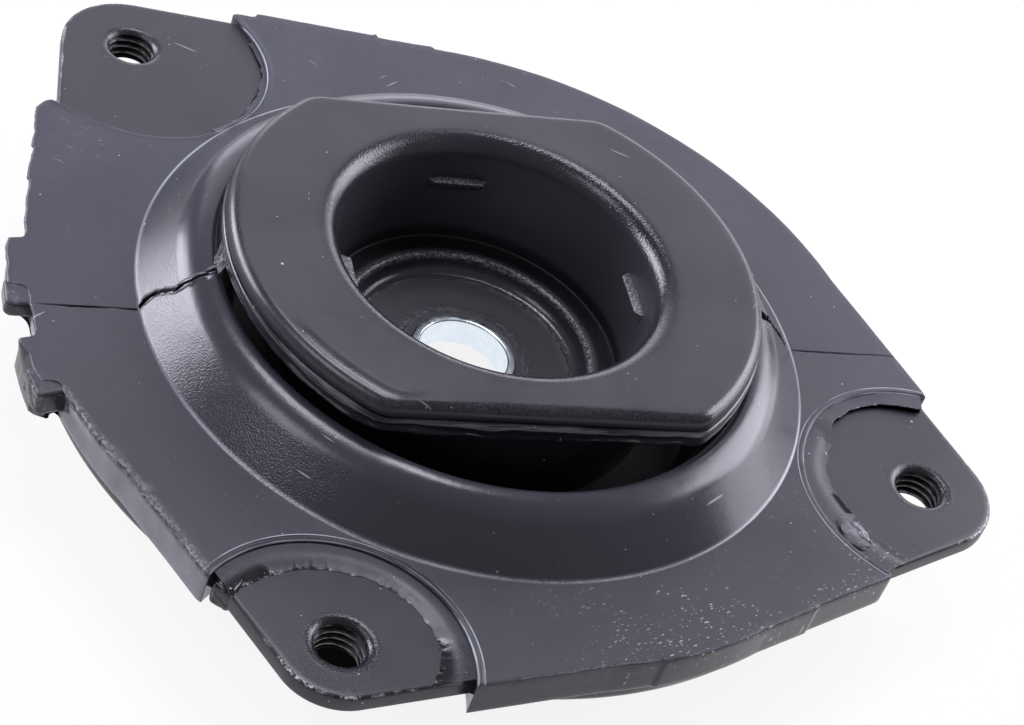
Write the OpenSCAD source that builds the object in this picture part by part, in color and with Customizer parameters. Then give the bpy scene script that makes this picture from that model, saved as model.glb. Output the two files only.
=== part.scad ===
// Strut mount: a pressed steel plate with three tapped lugs, a drawn steel cup for the strut rod,
// and one rubber moulding that is bonded to both and carries the cup in the plate's raised collar.
// Millimetres. The origin is on the rod axis, on the centre bush's upper face where the rod's nut
// seats, and +Z points up into the body of the car.

/* [Plate] */
// Diameter of the plate over its rubber rim, between the lugs
plate_d = 162; // [150:1:196]
// Height of the plate's rubber face above the nut seat
plate_top = 8.3; // [6:0.1:11]
// Sheet thickness of the steel plate
plate_sheet = 3.5; // [2.5:0.1:4.5]
// Rubber that stands out past the edge of the steel
rim_w = 2.5; // [1.5:0.1:4]
// Rubber over the steel's upper face
coat_over = 1.2; // [0.8:0.1:2]
// Rubber under the steel's lower face
coat_under = 2.8; // [1.5:0.1:4]

/* [Lugs] */
// Distance from the rod axis to the first tapped hole
lug_1_r = 92; // [88:0.5:110]
// Angle of the first tapped hole
lug_1_angle = 127; // [120:0.5:135]
// Distance from the rod axis to the second tapped hole
lug_2_r = 88; // [86:0.5:106]
// Angle of the second tapped hole
lug_2_angle = -24.5; // [-32:0.5:-18]
// Distance from the rod axis to the third tapped hole
lug_3_r = 85; // [85:0.5:102]
// Angle of the third tapped hole
lug_3_angle = -117; // [-124:0.5:-110]
// Radius of the first lug's end round its hole
lug_1_end = 13.7; // [12:0.1:16.5]
// Radius of the second lug's end round its hole
lug_2_end = 14; // [12:0.1:16.8]
// Radius of the third lug's end round its hole
lug_3_end = 11.4; // [10:0.1:14]
// Rubber that stands out past the steel where the rim meets a lug
lug_rim_w = 1.8; // [0.8:0.1:3]
// Diameter of the tapped hole's wall, as drilled for an M10 thread
tap_d = 8.5; // [6.8:0.1:10.2]
// Length of the tapped hole, through the sheet and the burr below it
tap_len = 6.5; // [5.5:0.1:9]
// Radius of the rolled-in edge where the bolt enters
tap_entry = 1.4; // [0.8:0.1:1.8]
// Wall of the burr round the thread
burr_wall = 3.2; // [2:0.1:4]
// Radius of the bare patch that the rubber leaves round the first lug
relief_1_r = 24.2; // [20:0.1:26]
// Radius of the bare patch round the second lug
relief_2_r = 25.3; // [20:0.1:27]
// Radius of the bare patch round the third lug
relief_3_r = 23.9; // [20:0.1:26]
// Angle of the middle of each bare patch past its lug's own angle
relief_1_turn = 0.6; // [-2:0.1:2]
relief_2_turn = -0.8; // [-2:0.1:2]
relief_3_turn = -0.4; // [-2:0.1:2]
// Land of rubber left between each bare patch and the foot of the collar
relief_1_land = 0.5; // [0.5:0.1:4]
relief_2_land = 1.9; // [0.5:0.1:4]
relief_3_land = 2.1; // [0.5:0.1:4]
// Width of the thin film of rubber that has crept over the edge of the bare patch
film_w = 5; // [2:0.1:6]
// Thickness of that film
film_t = 0.6; // [0.3:0.1:0.8]

/* [Collar] */
// Height of the collar's ridge above the plate
collar_h = 9; // [7:0.5:11]
// How far the cone leans in from its foot to the ridge
cone_run = 8.6; // [6:0.1:11]
// Rubber over the steel inside the cone
cone_skin = 2; // [1.5:0.1:2.5]
// Width of the ridge's flat top
ridge_w = 4; // [3:0.1:6]
// How far the groove's outer wall leans in from the ridge to the groove's floor
groove_flare = 6.3; // [5:0.1:9]
// Width of the groove's floor
groove_w = 8; // [6:0.1:12]
// Depth of the groove below the ridge
groove_depth = 18; // [14:0.5:19]
// Rubber sleeve round the cup
sleeve_t = 3.2; // [2.5:0.1:5]

/* [Cup] */
// Inner diameter of the cup at its mouth, below the rounded edge
mouth_d = 60; // [50:1:72]
// Radius of the mouth's rounded edge
mouth_fillet = 5; // [4:0.1:6]
// Sheet thickness of the cup
cup_sheet = 3; // [2.4:0.1:3.6]
// How much the radius closes in from the mouth to the shoulder
wall_taper = 1.4; // [0:0.1:2.5]
// Height of the flange's upper face above the nut seat
flange_top = 26; // [25.5:0.1:32]
// Diameter of the flange
flange_d = 100; // [92:1:120]
// Distance across the flange's two flats
flange_flats = 81; // [78:0.5:90]
// Radius of the corners between flats and arcs
flange_corner = 6; // [3:0.5:9]
// Radius of the flange's upper edge
flange_edge = 1.6; // [0.5:0.1:2.2]
// Thickness of the rubber pad under the flange
pad_t = 3; // [2:0.1:4.5]
// How far the pad stands out past the flange's edge
pad_proud = 0.4; // [0:0.1:1]
// Height of the cup's shoulder above the nut seat
shoulder_h = 3.1; // [2:0.1:5]
// Width of the shoulder between the cup's wall and its well
shoulder_w = 5; // [4:0.1:7]
// Depth of the well's floor below the nut seat
floor_depth = 0.7; // [0.5:0.1:1.2]

/* [Ledges in the cup] */
// Number of ledges pressed into the cup's wall
ledge_count = 4; // [2:1:6]
// Height of the ledges' upper faces above the nut seat
ledge_top = 17.3; // [14:0.1:19]
// Width of a ledge along the wall
ledge_w = 12; // [8:0.5:14]
// Width of the ledge's straight inner edge
ledge_edge_w = 9; // [6:0.5:11]
// How far a ledge stands in from the wall
ledge_reach = 2; // [1:0.1:3]
// Length over which a ledge runs back into the wall below it
ledge_drop = 8; // [5:0.5:11]

/* [Bush] */
// Outer diameter of the bush
bush_d = 20.2; // [19.5:0.1:26]
// Diameter of the rod's bore
bore_d = 17; // [10.5:0.1:17.6]
// Length of the bush
bush_len = 5.8; // [4:0.1:8]
// Chamfer at the bore's two ends
bush_chamfer = 0.4; // [0.3:0.1:0.8]

/* [Underside] */
// Depth of the bearing seat below the nut seat
seat_depth = 15.7; // [12:0.1:20]
// Radial width of the bearing seat
seat_w = 15; // [10:0.5:17]
// Clear space between the cup's well and the seat's inner edge
seat_gap = 4.4; // [3:0.1:6]
// How much the boss widens from the seat up to the plate
boss_flare = 5; // [2:0.1:8]
// How far the round bead under the plate's edge stands in from the rim
bead_inset = 1.5; // [0:0.1:3]
// Width of that bead
bead_w = 8; // [5:0.5:10]
// Height of that bead below the plate
bead_drop = 4.5; // [2:0.1:6]

/* [Blocks on the rim] */
// How far the two blocks stand out from the rim
block_reach = 4.2; // [2:0.1:6]
// Height of the blocks
block_h = 6.5; // [4:0.1:7]
// Middle of the first block, and half the angle that it spans
block_1_angle = 175; // [172:0.1:177]
block_1_half = 4.1; // [2:0.1:4.5]
// Middle of the second block, and half the angle that it spans
block_2_angle = 191.2; // [188:0.1:194]
block_2_half = 3.3; // [1.5:0.1:4]

/* [Hidden] */
$fn = 96;
arc_steps = 5;
edge_r = 0.4;
past = 1;

plate_r = plate_d / 2;
steel_r = plate_r - rim_w;
steel_top = plate_top - coat_over;
steel_bottom = steel_top - plate_sheet;
plate_bottom = steel_bottom - coat_under;
tap_r = tap_d / 2;
// Distance, angle and end radius of each lug
LUGS = [
    [lug_1_r, lug_1_angle, lug_1_end],
    [lug_2_r, lug_2_angle, lug_2_end],
    [lug_3_r, lug_3_angle, lug_3_end],
];
// Radius, angle and land of the bare patch round each lug
RELIEFS = [
    [relief_1_r, lug_1_angle + relief_1_turn, relief_1_land],
    [relief_2_r, lug_2_angle + relief_2_turn, relief_2_land],
    [relief_3_r, lug_3_angle + relief_3_turn, relief_3_land],
];
BLOCKS = [[block_1_angle, block_1_half], [block_2_angle, block_2_half]];

wall_top_r = mouth_d / 2;
wall_bottom_r = wall_top_r - wall_taper;
flange_r = flange_d / 2;
flange_under = flange_top - cup_sheet;
shoulder_under = shoulder_h - cup_sheet;
well_draft = 0.7;
well_top_r = wall_bottom_r - shoulder_w;
well_floor_r = well_top_r - well_draft;
floor_under = -floor_depth - cup_sheet;
bush_r = bush_d / 2;
lip_w = 1.9;
lip_h = 0.35;

// Radii of the rubber, from the cup's wall outwards to the foot of the collar
sleeve_r = wall_top_r + cup_sheet + sleeve_t;
groove_r = sleeve_r + groove_w;
ridge_in_r = groove_r + groove_flare;
ridge_out_r = ridge_in_r + ridge_w;
collar_r = ridge_out_r + cone_run;
ridge_z = plate_top + collar_h;
groove_z = ridge_z - groove_depth;
pad_z = flange_under - pad_t;
pad_r = flange_r + pad_proud;

// Outward normal of the cone, as [radius, height]
cone_normal = [collar_h, cone_run] / norm([collar_h, cone_run]);
collar_overlap = 2;
steel_tip_z = ridge_z - cone_skin;

// Underside
bond_z = shoulder_under - 1.4;
bond_r = well_top_r + cup_sheet - well_draft * (shoulder_under - bond_z) / (shoulder_h + floor_depth);
seat_in_r = well_top_r + cup_sheet + seat_gap;
seat_out_r = seat_in_r + seat_w;
bead_r = plate_r - bead_inset;

// Radius of the line that lies depth_in inside the cone's face, at the height z
function cone_r(depth_in, z) = collar_r - (depth_in + cone_normal[1] * (z - plate_top)) / cone_normal[0];

// Inner radius of the cup's wall at the height z
function wall_r(z) = wall_bottom_r + wall_taper * (z - shoulder_h) / (flange_top - shoulder_h);

function xy(p) = [p[0], p[1]];
function unit(v) = v / norm(v);
function turned(v, a) = [v[0] * cos(a) - v[1] * sin(a), v[0] * sin(a) + v[1] * cos(a)];

// The points of one corner p = [x, y, radius], rounded between its neighbours a and b
function corner(a, p, b) =
    p[2] == 0 ? [xy(p)] :
    let (
        u = unit(xy(a) - xy(p)),
        v = unit(xy(b) - xy(p)),
        half = acos(u * v) / 2,
        centre = xy(p) + unit(u + v) * p[2] / sin(half),
        first = xy(p) + u * p[2] / tan(half) - centre,
        way = u[0] * v[1] - u[1] * v[0] > 0 ? -1 : 1
    )
    [for (i = [0:arc_steps]) centre + turned(first, way * (180 - 2 * half) * i / arc_steps)];

// A closed outline whose corners [x, y, radius] are rounded
function rounded(p) =
    let (n = len(p))
    [for (i = [0:n - 1]) each corner(p[(i + n - 1) % n], p[i], p[(i + 1) % n])];

// Corners of the cup's outer face from under the flange down to its well, shared by cup and rubber
CUP_OUTER = [
    [wall_top_r + cup_sheet, flange_under, mouth_fillet - cup_sheet],
    [wall_bottom_r + cup_sheet, shoulder_under, 4],
    [well_top_r + cup_sheet, shoulder_under, 1],
];

// The plate's outline: a disc drawn out by straight sides to a round end at each lug. The sides run
// a hair inside the tangents, so that they cross the disc and the round ends
module outline(disc_r, grow) {
    circle(disc_r);
    for (lug = LUGS)
        rotate(lug[1]) {
            end_r = lug[2] + grow;
            disc_in = disc_r - 0.3;
            end_in = end_r - 0.1;
            lean = acos((disc_in - end_in) / lug[0]);
            rim = disc_in * [cos(lean), sin(lean)];
            tip = [lug[0], 0] + end_in * [cos(lean), sin(lean)];
            polygon([[0, 0], [rim[0], -rim[1]], [tip[0], -tip[1]], [lug[0], 0], tip, rim]);
            translate([lug[0], 0]) circle(end_r);
        }
}

// A disc with two flats and rounded corners, as the flange and its pad have
module double_d(r, across) {
    flat = across / 2;
    c = flange_corner;
    mid = [sqrt(pow(r - c, 2) - pow(flat - c, 2)), flat - c];
    on_arc = unit(mid) * r;
    pole = [(r * r - on_arc[1] * flat) / on_arc[0], flat];
    difference() {
        intersection() {
            circle(r);
            square([3 * r, across], center = true);
        }
        for (mx = [0, 1], my = [0, 1])
            mirror([mx, 0]) mirror([0, my])
                difference() {
                    polygon([mid, [mid[0], flat], pole + [0, past], pole + [past, 0], on_arc]);
                    translate(mid) circle(c);
                }
    }
}

// Places the children at each tapped hole, on the steel's upper face
module at_lugs() {
    for (lug = LUGS)
        rotate(lug[1]) translate([lug[0], 0, steel_top]) children();
}

// A tapped hole with its rolled-in entry, to be cut from the plate
module tapped_hole() {
    translate([0, 0, -tap_len - past]) cylinder(r = tap_r, h = tap_len + 2 * past);
    rotate_extrude()
        difference() {
            translate([0, -tap_entry]) square([tap_r + tap_entry, tap_entry + past]);
            translate([tap_r + tap_entry, -tap_entry]) circle(tap_entry);
        }
}

// Section of the steel collar that is drawn up inside the rubber cone
module collar_section() {
    tip = [cone_r(cone_skin, steel_tip_z), steel_tip_z];
    inner_tip = tip - plate_sheet * cone_normal;
    foot_r = collar_r + collar_overlap;
    polygon(rounded([
        [foot_r, steel_top, 0],
        [cone_r(cone_skin, steel_top), steel_top, 1.5],
        [tip[0], tip[1], edge_r],
        [inner_tip[0], inner_tip[1], edge_r],
        [cone_r(cone_skin + plate_sheet, steel_bottom), steel_bottom, 1.5 + plate_sheet],
        [foot_r, steel_bottom, 0],
    ]));
}

// Flat sheet of the plate with its lugs, without the collar
module flat_sheet() {
    translate([0, 0, steel_bottom])
        linear_extrude(plate_sheet)
            difference() {
                outline(steel_r, 0);
                circle(collar_r);
            }
}

// Pressed steel plate: flat lugs, a burred and tapped hole in each, and the raised collar
module outer_plate() {
    color([0.27, 0.27, 0.30])
        difference() {
            union() {
                flat_sheet();
                rotate_extrude() collar_section();
                at_lugs() translate([0, 0, -tap_len]) cylinder(r = tap_r + burr_wall, h = tap_len - plate_sheet / 2);
            }
            at_lugs() tapped_hole();
        }
}

// Section of the rubber from the plate's coat over the collar and the groove to the pad and the boss
module rubber_section() {
    coat_r = collar_r + collar_overlap;
    far_r = pad_r + past;
    difference() {
        polygon(rounded(concat(
            [
                [coat_r, plate_bottom, 0],
                [coat_r, plate_top, 0],
                [collar_r, plate_top, 0.8],
                [ridge_out_r, ridge_z, 1.2],
                [ridge_in_r, ridge_z, 1.6],
                [groove_r, groove_z, 2.5],
                [sleeve_r, groove_z, 2.5],
                [sleeve_r, pad_z, 2],
                [far_r, pad_z, 0],
                [far_r, flange_under, 0],
            ],
            CUP_OUTER,
            [
                [bond_r, bond_z, 0],
                [seat_in_r - 1.5, bond_z - 1.5, 1],
                [seat_in_r, -seat_depth, 1],
                [seat_out_r, -seat_depth, 2],
                [seat_out_r + boss_flare, plate_bottom, 3],
            ]
        )));
        collar_section();
    }
}

// What the rubber leaves bare round one lug: the whole depth, apart from the film that crept in
module lug_relief(relief) {
    deep = plate_bottom - bead_drop - past;
    pitch_r = collar_r + relief[2] + relief[0];
    difference() {
        rotate(relief[1]) translate([pitch_r, 0, deep])
            cylinder(r = relief[0], h = plate_top + past - deep);
        translate([0, 0, steel_bottom + plate_sheet / 2])
            linear_extrude(plate_sheet / 2 + film_t)
                difference() {
                    outline(steel_r, 0);
                    rotate(relief[1]) translate([pitch_r, 0]) circle(relief[0] - film_w);
                }
    }
}

// Rubber moulding: the plate's coat and rim, the cone and groove, the pad and the bearing's boss
module rubber_body() {
    color([0.33, 0.33, 0.37])
        difference() {
            union() {
                rotate_extrude() rubber_section();
                translate([0, 0, plate_bottom])
                    linear_extrude(plate_top - plate_bottom)
                        difference() {
                            outline(plate_r, lug_rim_w);
                            circle(collar_r);
                        }
                rotate_extrude()
                    polygon(rounded([
                        [bead_r - bead_w, plate_bottom + past, 0],
                        [bead_r - bead_w, plate_bottom - bead_drop, 2],
                        [bead_r, plate_bottom - bead_drop, 2],
                        [bead_r, plate_bottom + past, 0],
                    ]));
                for (block = BLOCKS)
                    rotate(block[0] - block[1])
                        rotate_extrude(angle = 2 * block[1])
                            translate([plate_r - rim_w / 2, plate_top - block_h])
                                square([rim_w / 2 + block_reach, block_h]);
            }
            flat_sheet();
            for (relief = RELIEFS) lug_relief(relief);
            // The pad follows the flange's flats
            translate([0, 0, (ridge_z + pad_z) / 2])
                linear_extrude(flange_under - ridge_z)
                    difference() {
                        circle(pad_r + 2 * past);
                        double_d(pad_r, flange_flats + 2 * pad_proud);
                    }
        }
}

// One ledge, a wedge that stands in from the cup's wall and runs out below
module ledge() {
    wall = wall_r(ledge_top);
    back = wall + cup_sheet / 2;
    intersection() {
        rotate([90, 0, 0])
            linear_extrude(ledge_w, center = true)
                polygon([[wall - ledge_reach, ledge_top], [back, ledge_top], [back, ledge_top - ledge_drop]]);
        translate([0, 0, ledge_top - ledge_drop])
            linear_extrude(ledge_drop)
                polygon([
                    [wall - ledge_reach, -ledge_edge_w / 2],
                    [back, -ledge_w / 2],
                    [back, ledge_w / 2],
                    [wall - ledge_reach, ledge_edge_w / 2],
                ]);
    }
}

// Drawn steel cup with its double-D flange, the shoulder and the well that holds the bush
module inner_cup() {
    deep = floor_under - past;
    color([0.25, 0.25, 0.28]) {
        intersection() {
            rotate_extrude()
                polygon(rounded(concat(
                    [[flange_r, flange_top, flange_edge], [flange_r, flange_under, 0]],
                    CUP_OUTER,
                    [
                        [well_floor_r + cup_sheet, floor_under, 3],
                        [bush_r, floor_under, 0],
                        [bush_r, -floor_depth + lip_h, 0],
                        [bush_r + lip_w, -floor_depth + lip_h, 0],
                        [bush_r + lip_w, -floor_depth, 0],
                        [well_floor_r, -floor_depth, 1.6],
                        [well_top_r, shoulder_h, 0.8],
                        [wall_bottom_r, shoulder_h, 2],
                        [wall_top_r, flange_top, mouth_fillet],
                    ]
                )));
            translate([0, 0, deep])
                linear_extrude(flange_top - deep + past)
                    double_d(flange_r, flange_flats);
            // The flats have the same rounded upper edge as the arcs
            rotate([90, 0, 90])
                linear_extrude(2 * flange_d, center = true)
                    polygon(rounded([
                        [-flange_flats / 2, deep, 0],
                        [flange_flats / 2, deep, 0],
                        [flange_flats / 2, flange_top, flange_edge],
                        [-flange_flats / 2, flange_top, flange_edge],
                    ]));
        }
        for (i = [0:ledge_count - 1])
            rotate(i * 360 / ledge_count) ledge();
    }
}

// Plated bush that the strut rod passes through, pressed into the floor of the well
module centre_bush() {
    bore_r = bore_d / 2;
    color([0.85, 0.87, 0.89])
        rotate_extrude()
            polygon([
                [bore_r + bush_chamfer, 0],
                [bush_r - edge_r, 0],
                [bush_r, -edge_r],
                [bush_r, -bush_len + edge_r],
                [bush_r - edge_r, -bush_len],
                [bore_r + bush_chamfer / 2, -bush_len],
                [bore_r, -bush_len + bush_chamfer / 2],
                [bore_r, -bush_chamfer],
            ]);
}

outer_plate();
rubber_body();
inner_cup();
centre_bush();
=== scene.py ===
# %% [markdown]
# # A strut mount, dressed around its CAD frame
# This part sits at the top of a car's front strut. A pressed steel plate bolts to the body by three tapped
# lugs, a drawn steel cup takes the strut's rod, and one rubber moulding is bonded to both of them and lets
# the cup move a little. The CAD frame gives every size. The cells below model each piece again with finer
# edges, moulding flash and threads, so that light catches it the way it does on the real part.

# %% Load the frame
import math

import bmesh
import bpy
import numpy as np
from mathutils import Matrix, Vector, noise


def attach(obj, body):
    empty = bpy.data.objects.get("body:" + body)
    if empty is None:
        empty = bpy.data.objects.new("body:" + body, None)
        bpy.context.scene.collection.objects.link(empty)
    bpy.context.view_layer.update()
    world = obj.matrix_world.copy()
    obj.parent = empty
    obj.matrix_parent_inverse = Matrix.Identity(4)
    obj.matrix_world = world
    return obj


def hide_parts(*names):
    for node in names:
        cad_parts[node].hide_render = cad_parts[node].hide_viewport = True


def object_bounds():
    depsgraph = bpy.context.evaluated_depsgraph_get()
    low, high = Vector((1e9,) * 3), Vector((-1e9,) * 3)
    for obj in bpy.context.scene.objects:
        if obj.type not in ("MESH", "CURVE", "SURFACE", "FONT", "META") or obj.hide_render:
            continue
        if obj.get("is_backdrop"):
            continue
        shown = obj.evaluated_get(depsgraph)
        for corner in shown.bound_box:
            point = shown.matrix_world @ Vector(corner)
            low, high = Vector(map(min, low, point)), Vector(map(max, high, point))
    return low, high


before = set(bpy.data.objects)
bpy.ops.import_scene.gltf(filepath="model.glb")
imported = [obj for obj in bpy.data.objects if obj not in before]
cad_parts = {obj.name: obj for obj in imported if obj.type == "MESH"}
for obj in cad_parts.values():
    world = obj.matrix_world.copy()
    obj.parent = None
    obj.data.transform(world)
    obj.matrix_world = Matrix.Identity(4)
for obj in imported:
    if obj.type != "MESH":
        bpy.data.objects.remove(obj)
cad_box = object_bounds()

MM = 0.001
scene = bpy.context.scene
print("nodes", sorted(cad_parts), "box in mm", [round(v / MM, 1) for v in cad_box[1] - cad_box[0]])

# %% [markdown]
# ## Camera
# A long lens about half a metre away, turned on its side a little, so that the mount's axis leans to the
# right. Two of the camera's axes are written down and the third is their cross product. A Track To
# constraint could aim it too, but it can't give the roll.

# %% Camera
EYE = Vector((-0.16314, -0.33716, 0.32583))
RIGHT = Vector((0.93692, -0.20950, 0.27979))
UP = Vector((-0.05118, 0.70962, 0.70272))
LENS = 93.85

turn = Matrix((RIGHT, UP, RIGHT.cross(UP))).transposed()
camera = bpy.data.objects.new("camera", bpy.data.cameras.new("camera"))
camera.data.lens = LENS
camera.data.sensor_width = 36
camera.data.clip_start = 0.01
camera.matrix_world = Matrix.Translation(EYE) @ turn.to_4x4()
scene.collection.objects.link(camera)
scene.camera = camera
scene.view_settings.view_transform = "Standard"
print("camera", round(EYE.length, 3), "m from the rod's nut seat")

# %% [markdown]
# ## Studio light
# Black rubber shows its shape by what it mirrors, so the lights are large and soft. Two wide panels behind
# the mount give the flat faces their slate sheen. A strong one at the left and two at the right draw the
# bright bands on the cone and in the cup's mouth, and two small ones overhead pick out the rolled edges.
# The camera's side stays dim, which keeps the front of the cone black. Bare lamps would leave hard spots.

# %% Lights and world
LAMP_AIM = Vector((0, 0, 0.02))
LAMP_COLOUR = (0.89, 0.88, 1.0)


def panel(name, place, size, power):
    """A soft rectangular lamp at a place, turned to face the mount."""
    lamp = bpy.data.lights.new(name, "AREA")
    lamp.shape = "RECTANGLE"
    lamp.size, lamp.size_y = size
    lamp.energy = power
    lamp.color = LAMP_COLOUR
    holder = bpy.data.objects.new(name, lamp)
    facing = (LAMP_AIM - Vector(place)).to_track_quat("-Z", "Y").to_matrix()
    holder.matrix_world = Matrix.Translation(place) @ facing.to_4x4()
    scene.collection.objects.link(holder)
    print(name, power, "W")


panel("back_low_panel", (0.456, 1.141, 0.248), (1.5, 0.37), 5.4)
panel("back_high_panel", (0.26, 0.65, 0.41), (1.0, 0.28), 1.0)
panel("left_panel", (-0.86, 0.74, 0.38), (0.75, 0.5), 14.5)
panel("right_panel", (1.12, 0.18, 0.22), (0.8, 0.42), 4.2)
panel("right_high_panel", (0.95, 0.30, 0.62), (0.7, 0.55), 10.0)
panel("top_panel", (0.02, 0.42, 1.0), (0.45, 0.3), 5.2)
panel("left_high_panel", (-0.72, -0.08, 0.86), (0.42, 0.42), 2.6)


# %% [markdown]
# ## Shader maths
# A node tree is easier to read as sums than as boxes and noodles. The class below holds one output socket.
# Adding or multiplying it makes a Math node, and its one method makes any other node.

# %% A socket that can be calculated with
class Wire:
    """An output socket of a node tree, with Python's operators for values."""

    def __init__(self, tree, socket=None):
        self.tree = tree
        self.socket = socket

    def node(self, kind, sockets, out=0, **settings):
        """Any node: its type, the values or wires of its sockets, the output to return, and its settings."""
        made = self.tree.nodes.new("ShaderNode" + kind)
        for key, value in settings.items():
            setattr(made, key, value)
        for key, value in sockets.items():
            if isinstance(value, Wire):
                self.tree.links.new(value.socket, made.inputs[key])
            else:
                made.inputs[key].default_value = value
        return Wire(self.tree, made.outputs[out])

    def maths(self, operation, first, second):
        return self.node("Math", {0: first, 1: second}, operation=operation)

    def __add__(self, other):
        return self.maths("ADD", self, other)

    def __sub__(self, other):
        return self.maths("SUBTRACT", self, other)

    def __rsub__(self, other):
        return self.maths("SUBTRACT", other, self)

    def __mul__(self, other):
        return self.maths("MULTIPLY", self, other)

    __radd__ = __add__
    __rmul__ = __mul__

    def between(self, low, high, to_low=0.0, to_high=1.0):
        """The value's smooth way from low to high, read as another range."""
        return self.node("MapRange", {"Value": self, "From Min": low, "From Max": high, "To Min": to_low,
                                      "To Max": to_high}, interpolation_type="SMOOTHSTEP")

    def band(self, middle, half):
        """1 at a middle value and 0 beyond half a width from it."""
        return self.maths("ABSOLUTE", self - middle, 0.0).between(half, 0.0)


def colour(r, g, b):
    """A colour from 0-255 as a picture shows it, made linear for a shader."""
    linear = [(c / 255 / 12.92 if c <= 10 else ((c / 255 + 0.055) / 1.055) ** 2.4) for c in (r, g, b)]
    return (*linear, 1.0)


print("slate grey is", [round(v, 3) for v in colour(85, 85, 97)])

# %% [markdown]
# ## Patterns that several finishes share
# Dust, scratches and mottling turn up on rubber and paint alike. Each is a small function of the Object
# coordinates, so the pattern stays fixed to the part from every side.

# %% Dust, scratches and mottling
class Finish:
    """A material under construction: its tree, its coordinates and its shader."""

    def __init__(self, name):
        self.material = bpy.data.materials.new(name)
        self.material.use_nodes = True
        tree = self.material.node_tree
        self.shader = tree.nodes["Principled BSDF"]
        self.start = Wire(tree)
        self.place = self.start.node("TexCoord", {}, out="Object")
        split = self.start.node("SeparateXYZ", {0: self.place}).socket.node
        self.x, self.y, self.z = (Wire(tree, s) for s in split.outputs)
        self.flat = self.start.node("VectorMath", {0: self.place, 1: (1, 1, 0)}, operation="MULTIPLY")
        self.radius = self.away_from((0, 0))

    def away_from(self, middle):
        """Distance in plan from a point in mm."""
        spot = (middle[0] * MM, middle[1] * MM, 0)
        return self.start.node("VectorMath", {0: self.flat, 1: spot}, out="Value", operation="DISTANCE")

    def turned(self, stretch, angle):
        """The coordinates, turned about Z first and then stretched."""
        size = tuple(1 / share for share in stretch)
        return self.start.node("Mapping", {"Vector": self.place, "Rotation": (0, 0, angle), "Scale": size},
                               vector_type="TEXTURE")

    def attribute(self, name):
        return self.start.node("Attribute", {}, out="Fac", attribute_name=name)

    def cloud(self, scale, detail=4.0, rough=0.55, warp=0.0):
        """Soft noise from 0 to 1, as an output of the Noise Texture."""
        return self.start.node("TexNoise", {"Vector": self.place, "Scale": scale, "Detail": detail,
                                            "Roughness": rough, "Distortion": warp})

    def specks(self, scale, share, size, stretch=None, turned=0.0):
        """Scattered grains: a share of the cells of a Voronoi texture hold one."""
        where = self.place
        if stretch:
            where = self.turned(stretch, turned)
        cell = self.start.node("TexVoronoi", {"Vector": where, "Scale": scale}).socket.node
        distance = Wire(cell.id_data, cell.outputs["Distance"])
        lot = self.start.node("SeparateColor", {0: Wire(cell.id_data, cell.outputs["Color"])})
        reach = lot.between(1.0 - share, 1.0) * size
        return (reach - distance).between(0.0, size * 0.35)

    def mix(self, factor, first, second):
        """Blends two colours. The Mix node names sockets of every type alike, so they go by their places."""
        return self.start.node("Mix", {0: factor, 6: first, 7: second}, out=2, data_type="RGBA")

    def most(self, first, *others):
        """The largest of several values."""
        for other in others:
            first = self.start.maths("MAXIMUM", first, other)
        return first

    def bump(self, height, depth, below=None, strength=1.0):
        sockets = {"Height": height, "Distance": depth, "Strength": strength}
        if below:
            sockets["Normal"] = below
        return self.start.node("Bump", sockets)

    def set(self, **sockets):
        """Sets or links the shader's sockets, with _ for the spaces in their names."""
        for key, value in sockets.items():
            target = self.shader.inputs[key.replace("_", " ")]
            if isinstance(value, Wire):
                self.material.node_tree.links.new(value.socket, target)
            else:
                target.default_value = value
        return self.material


print("patterns ready:", [name for name in vars(Finish) if name[0] != "_"])

# %% [markdown]
# ## Rubber
# The moulding is one black compound, but the mould left two skins on it: the flat coat is satin and slate
# grey, with dust and rubbed marks, while the cone came out glossy and pebbled like orange peel. One
# material does both, and finds the cone by its distance from the axis. Attributes that are set while the
# mesh is made mark the rest: wear for torn and rubbed edges, which on the rim's top edge and the cone's
# foot is also a painted highlight; line for painted highlights along edges and lips, a painted pale sheen
# on the rim's left walls and a paler top on one flash lump; and pit for painted shade, black in cracks,
# pits and under lips. The groove inside the collar and the side towards -Y are painted darker as shade.

# %% Rubber finish
COLLAR_R = 63.1
PATCHES = ((24.2, 127.6, 0.5), (25.3, -25.3, 1.9), (23.9, -117.4, 2.1))


def patch_centre(patch):
    """Middle of a bare patch, from its radius, its angle and the land between it and the collar."""
    radius, angle, land = patch
    pitch = COLLAR_R + land + radius
    return pitch * np.array([math.cos(math.radians(angle)), math.sin(math.radians(angle))])


def patch_beads(f):
    """Two fine painted highlight lines beside each bare patch, and the low bead between them."""
    lines = rise = f.radius * 0.0
    for patch, second in zip(PATCHES, (0.0, 1.0, 0.9)):
        past = f.away_from(patch_centre(patch)) - patch[0] * MM
        lines = f.most(lines, past.band(0.00020, 0.00017), past.band(0.00135, 0.00017) * second)
        rise = f.most(rise, past.band(0.0008, 0.0008))
    here = f.z.between(0.0078, 0.0081) * f.radius.between(0.0633, 0.0637)
    return lines * here * f.cloud(55, 3).between(0.36, 0.56), rise * here


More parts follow.
